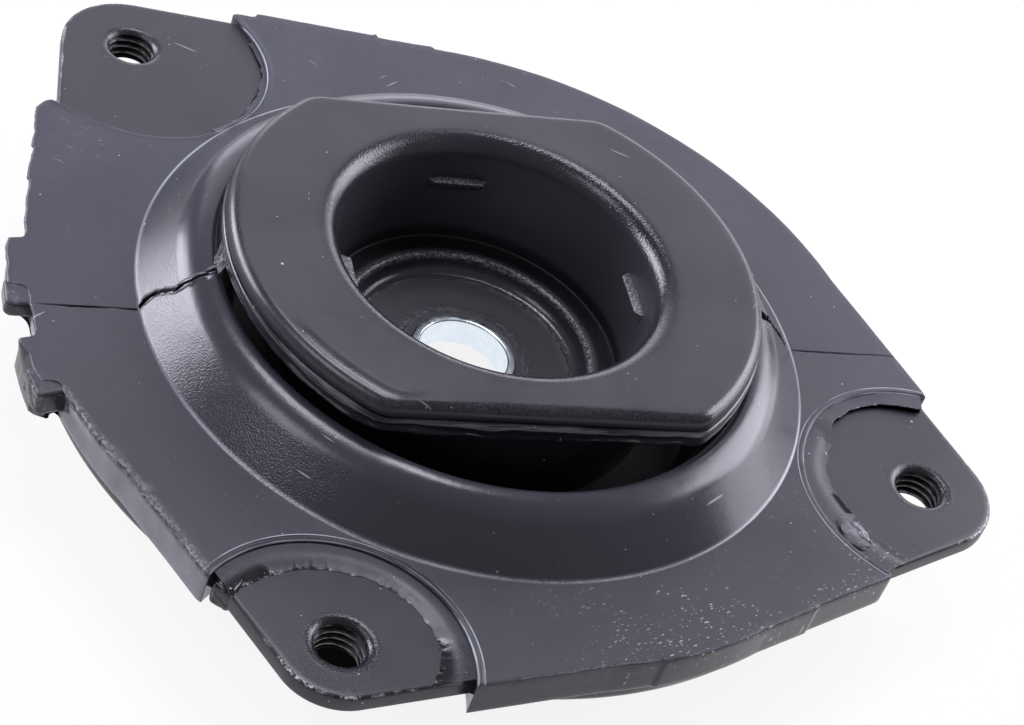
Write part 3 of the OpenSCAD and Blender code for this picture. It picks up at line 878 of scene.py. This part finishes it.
near = smooth(np.degrees(turn_to), 195, 215) * smooth(np.degrees(turn_to), 330, 300)
flow = np.column_stack([pad_at[:, :2] * 0.35, height * 1.9])
lips = rough(flow, 0.9, 7) + 0.5 * rough(flow, 2.1, 8)
swell = np.sin((height - 20) * 4.2 + 2.6 * rough(pad_at * [1, 1, 0], 0.07, 9))
broad = rough(pad_at, 0.12, 10) + 0.4 * rough(pad_at, 0.35, 18)
ring_push = rim_pad * (0.03 * lips + (0.03 + 0.09 * near) * swell + 0.42 * near * (broad + 0.1))
pad_at[:, :2] += way * ring_push[:, None]
sag = rim_pad * near * smooth(height, 21.8, 20.2)
pad_at[:, 2] -= sag * (0.5 + 0.9 * rough(pad_at * [1, 1, 0], 0.10, 11))
waves = (0.1 + 0.35 * near) * rough(pad_at * [1, 1, 0.3], 0.13, 17)
pad_at[:, 2] += rim_pad * smooth(height, 22.9, 22.0) * waves
move_to(pad_bm, pad_at)
print("flash on the pad reaches", round(float(ring_push.max()), 2), "mm")
# A painted highlight: a pale broken line along the pad's top lip.
lip_line = rim_pad * smooth(np.abs(height - 22.6), 0.45, 0.15) * np.clip(0.2 + rough(pad_at, 0.10, 19), 0, 1)
rubber_piece("rubber_pad", pad_bm, line=0.35 * lip_line)

# %% [markdown]
# ## Cup
# The cup was drawn from one sheet: a double-D flange, a mouth with a generous radius, a tapered wall, a
# shoulder and a well with a bush in its floor. It is another spin, and the flange is pulled to its flats
# like the pad. Paint pooled on the mouth and the shoulder, so those rings get the sandy attribute.

# %% Cup: spin and flange
FLANGE = (50.0, 40.5, 6.0)
FLAT_IN = 35.5
ROLL_IN = 48.2
CUP = [(50, 26, 2.2), (50, 23, 0.35), (33, 23, 2), (31.6, 0.1, 4), (26.6, 0.1, 1), (25.9, -3.7, 3),
       (10.1, -3.7, 0.2), (10.1, -0.35, 0.25), (12, -0.35, 0.3), (12.1, -0.7, 0.15), (20.5, -0.7, 0.1),
       (20.8, -0.45, 0.12), (22.9, -0.45, 2.2), (23.4, 3.1, 0.8), (28.6, 3.1, 0.5), (29.9, 26, 4)]


def cup_longest(r, z):
    if z > 25.5 and r > 34:
        return 0.4 if r > 44 else 1.2
    if 23 < r < 25 and z > 1:
        return 0.4
    return 0.3 if 20 < r < 22 and z < 0 else 1.4


cup = spun(section(CUP, cup_longest), 48, 10)
cup_at = points(cup)
angle = np.arctan2(cup_at[:, 1], cup_at[:, 0])
ring = np.hypot(cup_at[:, 0], cup_at[:, 1])
height = cup_at[:, 2].copy()
flange_edge = double_d(angle, *FLANGE)
flange = (height > 22.9) & (ring > FLAT_IN)
pulled = FLAT_IN + (ring - FLAT_IN) * (flange_edge - 1.8 - FLAT_IN) / (ROLL_IN - FLAT_IN)
ring = np.where(flange, np.where(ring > ROLL_IN, flange_edge - (50 - ring), pulled), ring)
ragged = rough(cup_at, 1.1, 20) + 0.6 * rough(cup_at, 2.7, 21)
step = (height < -0.2) & (height > -0.69) & (ring > 20.2) & (ring < 21.2)
ring = ring + np.where(step, 0.35 * ragged, 0)
cup_at[:, :2] = np.column_stack([np.cos(angle), np.sin(angle)]) * ring[:, None]
cup_at[:, 2] += 0.05 * flange * rough(cup_at, 0.07, 22)
bead = smooth(np.abs(flange_edge - ring - 3.3), 1.1, 0.1) * smooth(np.abs(np.degrees(angle) + 137), 17, 11)
cup_at[:, 2] += 0.30 * bead * (height > 25.5)
move_to(cup, cup_at)
print("cup", len(ring), "points")

# %% [markdown]
# Four ledges are lanced out of the wall to hold the strut's bump cap. Each is a cube whose far corners are
# moved in to make a wedge, with its edges bevelled, and it is turned to its place before it joins the cup's
# mesh.

# %% Cup: ledges and finish
def ledge_into(bm, turn_deg, inner_x):
    """One wedge with its top at 17.3 mm, standing in from the wall to a given radius."""
    made = bmesh.ops.create_cube(bm, size=1.0)["verts"]
    for v in made:
        inner = v.co.x < 0
        low = v.co.z < 0
        y = math.copysign(5.0 if inner else 7.4, v.co.y)
        x = 31.0 if not inner else (inner_x if not low else 29.5)
        v.co = Vector((x, y, 17.3 if not low else (12.0 if not inner else 14.0))) * MM
    edges = list({e for v in made for e in v.link_edges})
    made = bmesh.ops.bevel(bm, geom=edges, offset=0.32 * MM, offset_type="OFFSET", segments=3, profile=0.5,
                           affect="EDGES", material=-1, clamp_overlap=True)["verts"]
    shell = {v for f in made[0].link_faces for v in f.verts}
    grow = list(shell)
    while grow:
        reached = {e.other_vert(v) for v in grow for e in v.link_edges} - shell
        shell |= reached
        grow = list(reached)
    turned = Matrix.Rotation(math.radians(turn_deg), 3, "Z")
    bmesh.ops.rotate(bm, verts=list(shell), cent=(0, 0, 0), matrix=turned)


for turn_deg, inner_x in ((0, 27.3), (90, 27.45), (180, 25.3), (270, 27.45)):
    ledge_into(cup, turn_deg, inner_x)
bmesh.ops.recalc_face_normals(cup, faces=cup.faces[:])
cup_at = points(cup)
ring = np.hypot(cup_at[:, 0], cup_at[:, 1])
height = cup_at[:, 2]
angle = np.arctan2(cup_at[:, 1], cup_at[:, 0])
mouth = smooth(np.abs(ring - 31.6), 2.6, 0.8) * smooth(height, 20, 23.5)
shoulder = smooth(np.abs(ring - 23.6), 0.8, 0.2) * smooth(np.abs(height - 2.8), 1.2, 0.4)
pool = smooth(np.abs(ring - 21.9), 1.3, 0.8) * (height < 1.5) * (height > -0.6)
dark_floor = smooth(ring, 24.2, 25.0) * smooth(ring, 29.4, 28.4) * (height > 2) * (height < 6)
under_ledge = (ring < 28.5 + (height - 3.1) * 0.057) * (height > 9) * (height < 16.9)
ledge_edge = (ring < 29.0) * smooth(np.abs(height - 17.2), 0.3, 0.1) * (height > 16)
streak = smooth(np.abs(np.degrees(angle) + 137), 19, 12)
lip = smooth(np.abs(ring - 12.0), 0.4, 0.1) * (np.abs(height + 0.5) < 0.4)
edge_off = double_d(angle, *FLANGE) - ring
rolled = smooth(edge_off, 2.4, 1.4) * smooth(edge_off, 0.0, 0.5) * (height > 24)
streak *= smooth(np.abs(edge_off - 3.3), 1.6, 1.0) * (height > 22)
scuff_and_highlight = 0.05 * rolled * (0.5 + 0.8 * rough(cup_at, 0.12, 23))
# The pale wear on the shoulder, the lip ring and the ledges' top edges is a painted highlight, and on the
# rolled edge it is partly scuff and partly painted highlight. Pit paints shade black on the floor ring
# between wall and shoulder and under the ledges.
piece("cup", cup, [PAINT], "painted_steel", "inner_cup",
      wear=scuff_and_highlight + 0.3 * shoulder + 0.25 * lip + 0.3 * ledge_edge,
      pit=0.6 * dark_floor + 0.85 * under_ledge,
      sand=0.8 * mouth + 0.8 * shoulder + 0.3 * pool + lip + 0.15,
      line=0.7 * mouth + 0.5 * shoulder + pool + 0.9 * rolled + streak)

# %% [markdown]
# ## Bush
# A short plated tube, pressed into the floor. It is a small spin with chamfers at both ends of the bore.

# %% Bush
BUSH = [(8.5, -5.8, 0.2), (8.5, 0, 0.35), (10.1, 0, 0.3), (10.1, -5.8, 0.3)]
bush = spun(section(BUSH, lambda r, z: 0.6), 24, 8)
piece("bush", bush, [ZINC], "plated_steel", "centre_bush")

# %% [markdown]
# ## Lugs
# Each lug is spun round its own tapped hole, so the rings suit the hole, and the outer rings are then
# pulled to the lug's outline. The thread is a helix: the wall's radius follows a ridge that climbs one
# pitch per turn. A modelled thread catches light on its crests, which a bump on a plain bore would not do
# at the rim.

# %% Lugs: spin one
PITCH = 1.5
LUG_SPOKES = 232
STEEL_IN = 78.2


def lug_longest(r, z):
    if r < 5.2 and z < 5.8:
        return 0.11
    return 0.9 if z > 7 else 1.4


def lug_reach(way, lug, patch):
    """Distance from the hole to the lug's outline in each direction, or to just inside the rubber."""
    lug_r, lug_angle, end = lug
    lean = math.acos((STEEL_IN - (end - 0.1)) / lug_r)
    off = np.abs(way)
    side = np.where(off > lean, end / np.maximum(np.cos(off - lean), 0.12), end)
    hole = lug_r * np.array([math.cos(math.radians(lug_angle)), math.sin(math.radians(lug_angle))])
    back = hole - patch_centre(patch)
    world = way + math.radians(lug_angle)
    along = back[0] * np.cos(world) + back[1] * np.sin(world)
    exit_at = -along + np.sqrt(along ** 2 - back @ back + (patch[0] + 1.4) ** 2)
    return np.minimum(side, exit_at)


def lug_mesh(lug, patch):
    """A lug with its hole, centred on the hole, as places in mm plus the bmesh."""
    lug_r, lug_angle, end = lug
    outline = [(4.25, 0.6, 0.2), (4.25, 7.1, 1.7), (end, 7.1, 0.7), (end, 3.6, 0.6), (7.45, 3.6, 0.8),
               (7.45, 0.6, 0.5)]
    bm = spun(section(outline, lug_longest), LUG_SPOKES // 8, 8)
    at = points(bm)
    way = np.arctan2(at[:, 1], at[:, 0])
    ring = np.hypot(at[:, 0], at[:, 1])
    reach = lug_reach(way, lug, patch)
    spread = 8 + (ring - 8) * (reach - 1.5 - 8) / (end - 1.5 - 8)
    wide = np.where(ring > end - 1.5, reach - (end - ring), spread)
    outer = ring > 8
    phase = at[:, 2] / PITCH - way / math.tau
    ridge = np.abs((phase % 1) - 0.5) * 2
    root = np.clip((ridge - 0.22) / 0.62, 0, 1)
    bore = (ring < 4.9) & (at[:, 2] < 6.6)
    inside = bore * smooth(at[:, 2], 0.6, 1.0) * smooth(at[:, 2], 6.4, 5.6)
    ring = np.where(outer, wide, ring + 0.72 * root * inside)
    at[:, :2] = np.column_stack([np.cos(way), np.sin(way)]) * ring[:, None]
    crest = inside * smooth(root, 0.25, 0.0)
    return bm, at, bore, crest, outer, reach - ring


lug_parts = [lug_mesh(lug, patch) for lug, patch in zip(LUGS, PATCHES)]
print("lug points", [len(part[1]) for part in lug_parts])

# %% [markdown]
# The three lugs and the collar that is drawn up inside the rubber go into one mesh, because they are one
# pressing. Only the lugs show. Broken bright scuffs along their upper edges come from the wear attribute.

# %% Lugs: join and finish
def joined(parts):
    """Copies several bmeshes into one, in their order."""
    whole = bmesh.new()
    for bm in parts:
        mesh = bpy.data.meshes.new("part")
        bm.to_mesh(mesh)
        bm.free()
        whole.from_mesh(mesh)
        bpy.data.meshes.remove(mesh)
    return whole


SHEET = [(66.0, 7.04, 0), (61.5, 7.04, 1.5), (55.2, 15.2, 0.4), (52.7, 12.8, 0.4), (58.4, 3.66, 5),
         (66.0, 3.66, 0)]
bodies = []
wear_parts = []
sand_parts = []
for lug, (bm, at, bore, crest, outer, off) in zip(LUGS, lug_parts):
    turned = Matrix.Rotation(math.radians(lug[1]), 3, "Z")
    top_edge = outer * smooth(np.abs(off - 0.30), 0.26, 0.06) * (at[:, 2] > 6.4)
    broken = np.clip(1.5 * rough(at, 0.11, 30) + 1.2 * rough(at, 0.5, 31) + 0.15, 0, 1)
    mouth = smooth(np.hypot(at[:, 0], at[:, 1]), 6.6, 5.8) * (at[:, 2] > 5.6) * (at[:, 2] < 7.2)
    wear_parts.append(np.maximum(0.5 * crest, top_edge * broken))
    sand_parts.append(0.2 + 0.8 * mouth)
    move_to(bm, at)
    bm.verts.index_update()
    for face in bm.faces:
        face.material_index = int(all(bore[v.index] for v in face.verts))
    bmesh.ops.translate(bm, verts=bm.verts[:], vec=(lug[0] * MM, 0, 0))
    bmesh.ops.rotate(bm, verts=bm.verts[:], cent=(0, 0, 0), matrix=turned)
    bodies.append(bm)
sheet = spun(section(SHEET, lambda r, z: 2.5), 36, 5)
wear_parts.append(np.zeros(len(sheet.verts)))
sand_parts.append(np.zeros(len(sheet.verts)))
bodies.append(sheet)
plate = joined(bodies)
piece("steel_plate", plate, [PAINT, THREAD], "painted_steel", "outer_plate",
      wear=np.concatenate(wear_parts), sand=np.concatenate(sand_parts))

# %% [markdown]
# ## Film round the lugs
# Rubber crept past the mould's edge and lies on each lug as a thin film, which broke off along a ragged
# line with pits under its lip. The pits and the shade under the lip are painted black. The film is a
# partial spin about the patch's own centre, and noise eats its edge.

# %% Films
def none(share):
    """No lift and no pits at any share of the way."""
    return 0 * share


def film(name, index, first_share, last_share, seed, width, gap=none, pits=none):
    """A strip of film along part of a patch's edge.

    Width, lifted gap and pits are functions of the share of the way along that edge.
    """
    lug = LUGS[index]
    patch = PATCHES[index]
    radius = patch[0]
    corners = ((0.9, 6.9, 0), (0.9, 8.1, 0), (-4, 8.1, 0.12), (-4, 7.6, 0.1), (-2.4, 7.4, 0), (-2.4, 7.2, 0),
               (-3.8, 7.16, 0), (-3.8, 6.9, 0))
    bm = section([(radius + past, z, rounding) for past, z, rounding in corners],
                 lambda r, z: 0.25 if r < radius - 2.5 and z > 8 else 0.6)
    first, last = patch_ends(patch)
    start = math.radians(patch[1] + 180) + first + (last - first) * first_share
    sweep = (last - first) * (last_share - first_share)
    steps = round(abs(sweep) * radius / 0.22)
    bmesh.ops.rotate(bm, verts=bm.verts[:], cent=(0, 0, 0), matrix=Matrix.Rotation(start, 3, "Z"))
    bmesh.ops.spin(bm, geom=bm.verts[:] + bm.edges[:], cent=(0, 0, 0), axis=(0, 0, 1), angle=sweep,
                   steps=steps)
    bmesh.ops.holes_fill(bm, edges=[e for e in bm.edges if e.is_boundary], sides=0)
    bmesh.ops.recalc_face_normals(bm, faces=bm.faces[:])
    at = points(bm)
    turn = np.arctan2(at[:, 1], at[:, 0])
    run = ((turn - start) / sweep + 0.05) % (math.tau / abs(sweep)) - 0.05
    part = first_share + run * (last_share - first_share)
    ring = np.hypot(at[:, 0], at[:, 1])
    spot = np.column_stack([part * abs(last - first) * radius, 0 * part, 0 * part])
    ragged = rough(spot, 0.3, seed) + 0.6 * rough(spot, 0.8, seed + 1) + 0.4 * rough(spot, 1.9, seed + 2)
    inner = smooth(ring, radius - 1.5, radius - 3.8)
    lifted = gap(part) * np.clip(0.95 + 0.4 * rough(spot, 0.10, seed + 3), 0, 1.4)
    lip_top = 7.2 + lifted + 0.5 * np.minimum(lifted, 0.2)
    top = np.maximum(7.70 + 0.03 * (seed % 3), lip_top) * (1 - inner) + lip_top * inner
    lip_low = 7.06 + lifted
    upper = at[:, 2] > 7.62
    high = np.where(upper, lip_low + (at[:, 2] - 7.6) / 0.5 * (top - lip_low),
                    6.9 + (at[:, 2] - 6.9) / 0.7 * (lip_low - 6.9))
    inset = ring - (radius - 4)
    hole = pits(part) + 0.9 * rough(spot, 0.28, seed + 5) + 0.5 * rough(spot, 0.9, seed + 6)
    deep = 0.5 + 0.35 * np.clip(hole - 0.9, 0, 1.4)
    pit = smooth(hole, 0.75, 0.9) * upper * smooth(inset, 0.06, 0.15) * smooth(inset, deep + 0.2, deep)
    high = high - pit * np.clip(high - 7.13, 0, 0.4)
    near = np.clip((radius + 0.2 - ring) / 4.2, 0, 1)
    ring = ring - near * (width(part) - 4.0) - smooth(ring, radius - 2.6, radius - 3.6) * 0.35 * ragged
    at = round_axis(turn, ring, high)
    at[:, :2] += patch_centre(patch)
    lean = math.degrees(math.acos((STEEL_IN - (lug[2] - 0.1)) / lug[0]))
    for side in (-lean, lean):
        face = polar(1, np.array([lug[1] + side]))[0]
        past = np.maximum((at[:, :2] - polar(lug[0], np.array([lug[1]]))[0]) @ face - lug[2] - 0.12, 0)
        at[:, :2] -= past[:, None] * face
    move_to(bm, at)
    flecks = smooth(inset, 0.5, 0.1) * upper * np.clip(2.2 * rough(spot, 0.7, seed + 7) - 0.3, 0, 1)
    # Painted shade: the pits and the film's underside are painted black through pit.
    rubber_piece(name, bm, wear=flecks, pit=np.maximum(pit, ~upper & (ring < radius)))


film("film_1_step", 0, 0.02, 0.30, 40, gap=lambda t: 0.4 + 0 * t,
     width=lambda t: 0.8 + 0.5 * smooth(t, 0.18, 0.28))
film("film_1_pits", 0, 0.28, 0.56, 44, gap=lambda t: 0.3 * smooth(t, 0.40, 0.30),
     width=lambda t: 1.4 + 0 * t, pits=lambda t: 0.95 * smooth(t, 0.54, 0.44))
film("film_2_low", 1, -0.05, 0.57, 50, width=lambda t: 4.6 + 2.0 * smooth(t, 0.42, 0.2),
     pits=lambda t: 1.4 * smooth(t, 0.21, 0.23) * smooth(t, 0.35, 0.33) + 0.6 * smooth(t, 0.37, 0.42))
film("film_2_lip", 1, 0.54, 1.03, 55, gap=lambda t: 0.85 * smooth(t, 0.54, 0.66),
     width=lambda t: 4.4 - 1.9 * smooth(t, 0.54, 0.68) + 0.8 * smooth(t, 0.85, 0.97))
film("film_3", 2, -0.03, 1.06, 60, pits=lambda t: 0.55 + 0 * t,
     width=lambda t: 5.0 + 0.4 * np.sin(7 * t) + 1.5 * smooth(t, 0.85, 1.05))

# %% [markdown]
# ## Blocks on the rim
# Three stubs stand out from the rim's left side, where the mould was gated. Each is a cube that is
# bevelled, cut into a grid, bent round the rim and roughened. The gates were broken off by hand, so their
# ends are ragged.

# %% Blocks
def block(name, middle, half, r_in, r_out, z_low, z_high, rounding, torn, seed):
    """A rough block from one radius to another, spanning an angle on the rim."""
    bm = bmesh.new()
    bmesh.ops.create_cube(bm, size=1.0)
    bmesh.ops.bevel(bm, geom=bm.edges[:], offset=rounding, offset_type="OFFSET", segments=6, profile=0.5,
                    affect="EDGES", material=-1, clamp_overlap=True)
    long_edges = [e for e in bm.edges if e.calc_length() > 0.3]
    bmesh.ops.subdivide_edges(bm, edges=long_edges, cuts=15, use_grid_fill=True)
    at = np.array([v.co for v in bm.verts])
    turn = np.radians(middle + 2 * at[:, 1] * half)
    ring = r_in + (at[:, 0] + 0.5) * (r_out - r_in)
    high = z_low + (at[:, 2] + 0.5) * (z_high - z_low)
    at = round_axis(turn, ring, high)
    outer = smooth(ring, r_in, r_out)
    bumpy = rough(at, 0.5, seed) + 0.7 * rough(at, 1.4, seed + 1)
    at[:, :2] += np.column_stack([np.cos(turn), np.sin(turn)]) * (torn * outer * bumpy)[:, None]
    at[:, 2] += 0.4 * torn * outer * rough(at, 0.9, seed + 2)
    move_to(bm, at)
    rubber_piece(name, bm, wear=0.4 * outer * np.clip(bumpy, 0, 1))


block("gate_1_stub", 179.4, 2.3, 79.0, 86.4, 4.6, 8.1, 0.2, 0.03, 73)
block("gate_2_stub", 194.2, 2.4, 79.0, 86.2, 3.0, 8.1, 0.14, 0.13, 79)
block("notch_stub", 229.0, 1.4, 81.6, 86.6, 2.4, 7.4, 0.24, 0.16, 82)

# %% [markdown]
# ## Flash
# Beside the second lug a lump of flash was squeezed out and smeared, and two thin membranes hang at the
# pad. The lump is a squashed ball with noise, and a membrane is a grid that is torn along one side and
# thickened.

# %% Flash
def lump(name, place, size, turn_deg, seed):
    """A rough lump of rubber that lies on the plate."""
    bm = bmesh.new()
    bmesh.ops.create_icosphere(bm, subdivisions=5, radius=1.0)
    at = np.array([v.co for v in bm.verts])
    at *= (1 + 0.28 * rough(at, 1.6, seed) + 0.06 * rough(at, 5.0, seed + 1))[:, None]
    at *= size
    turn = math.radians(turn_deg)
    at[:, :2] = at[:, :2] @ np.array([[math.cos(turn), math.sin(turn)], [-math.sin(turn), math.cos(turn)]])
    at += place
    move_to(bm, at)
    rubber_piece(name, bm, wear=0.7 * smooth(at[:, 2], 8.2, 8.6), line=0.4 * smooth(at[:, 2], 8.0, 8.5))


def membrane(name, corners, seed):
    """A thin torn sheet between four corners."""
    bm = bmesh.new()
    bmesh.ops.create_grid(bm, x_segments=24, y_segments=14, size=0.5)
    flat = np.array([v.co for v in bm.verts]) + 0.5
    u, v = flat[:, :1], flat[:, 1:2]
    v = v * (1 - 0.45 * np.abs(rough(np.column_stack([u, u * 0, u * 0]), 6.0, seed))[:, None])
    a, b, c, d = (np.array(corner) for corner in corners)
    at = a * (1 - u) * (1 - v) + b * u * (1 - v) + c * u * v + d * (1 - u) * v
    at += 0.25 * np.column_stack([rough(at, 0.5, seed + way) for way in (1, 2, 3)])
    move_to(bm, at)
    bmesh.ops.solidify(bm, geom=bm.faces[:], thickness=0.35 * MM)
    bmesh.ops.recalc_face_normals(bm, faces=bm.faces[:])
    rubber_piece(name, bm, wear=0.3 * np.ones(len(bm.verts)))


lump("flash_crumb", (63.0, -49.2, 8.0), (2.7, 1.0, 0.6), -68, 90)
lump("flash_smear", (61.6, -49.4, 7.95), (3.8, 2.2, 0.4), -62, 92)
membrane("flash_left", ((-50.6, 1.8, 21.6), (-50.2, -3.2, 21.4), (-51.2, -2.6, 17.6), (-51.4, 1.2, 17.9)), 94)
membrane("flash_right", ((50.3, 1.0, 21.2), (50.2, -4.4, 21.2), (51.6, -3.6, 17.6), (51.8, 0.4, 17.8)), 97)

# %% [markdown]
# ## Floor and background
# The mount stands on a white table, with a white world behind it. The floor is a pale diffuse sheet that
# mostly glows white to the camera, so the background stays clean and the shadow under the mount is faint.
# A dark spot under the third lug is a painted shadow, and the floor's glow in reflections is painted
# dimmer in front of the mount.

# %% Floor and world
def floor_finish():
    f = Finish("white_table")
    tree = f.material.node_tree
    grain = f.cloud(30, 2)
    pale = f.mix(grain, colour(238, 238, 240), colour(244, 244, 246))
    glow = f.start.node("Emission", {"Color": (1, 1, 1, 1), "Strength": 1.0})
    path = f.start.node("LightPath", {}).socket.node
    # A painted shadow: a dark spot on the floor under the third lug, black and without glow.
    outside_painted_shadow = f.away_from((-31, -60)).between(0.0055, 0.0085)
    f.set(Base_Color=f.mix(outside_painted_shadow, colour(8, 8, 9), pale), Roughness=0.6)
    clean = f.radius.between(0.085, 0.125, 0.88, 0.985) * outside_painted_shadow
    # A painted shadow in what the floor mirrors: its glow for reflections is dimmer in front of the mount.
    shade = f.y.between(-0.078, -0.100) * f.x.between(0.075, 0.030) * 0.6
    seen = Wire(tree, path.outputs["Is Camera Ray"]) * clean
    mirrored = Wire(tree, path.outputs["Is Glossy Ray"]) * (1 - shade)
    white = f.start.node("MixShader", {0: seen, 1: Wire(tree, f.shader.outputs[0]), 2: glow})
    cool = f.start.node("Emission", {"Color": (0.96, 0.975, 1.0, 1), "Strength": 1.0})
    white = f.start.node("MixShader", {0: mirrored, 1: white, 2: cool})
    tree.links.new(white.socket, tree.nodes["Material Output"].inputs["Surface"])
    return f.material


ground = bmesh.new()
bmesh.ops.create_grid(ground, x_segments=8, y_segments=8, size=3.0)
bmesh.ops.translate(ground, verts=ground.verts[:], vec=(0, 0, cad_box[0].z - 0.0002))
floor_mesh = bpy.data.meshes.new("floor")
ground.to_mesh(floor_mesh)
ground.free()
floor_mesh.materials.append(floor_finish())
floor = bpy.data.objects.new("floor", floor_mesh)
scene.collection.objects.link(floor)
floor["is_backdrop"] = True

world = bpy.data.worlds.new("studio")
scene.world = world
world.use_nodes = True
sky = Wire(world.node_tree)
rays = sky.node("LightPath", {}).socket.node
camera_ray = Wire(world.node_tree, rays.outputs["Is Camera Ray"])
background = world.node_tree.nodes["Background"]
background.inputs["Color"].default_value = (1, 1, 1, 1)
world.node_tree.links.new((camera_ray * 0.75 + 0.25).socket, background.inputs["Strength"])
print("floor at", round(cad_box[0].z / MM, 2), "mm")

# %% How much the dressed model grew
grown = (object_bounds()[1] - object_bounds()[0]) - (cad_box[1] - cad_box[0])
print("the visual model is larger by", [round(v / MM, 2) for v in grown], "mm")
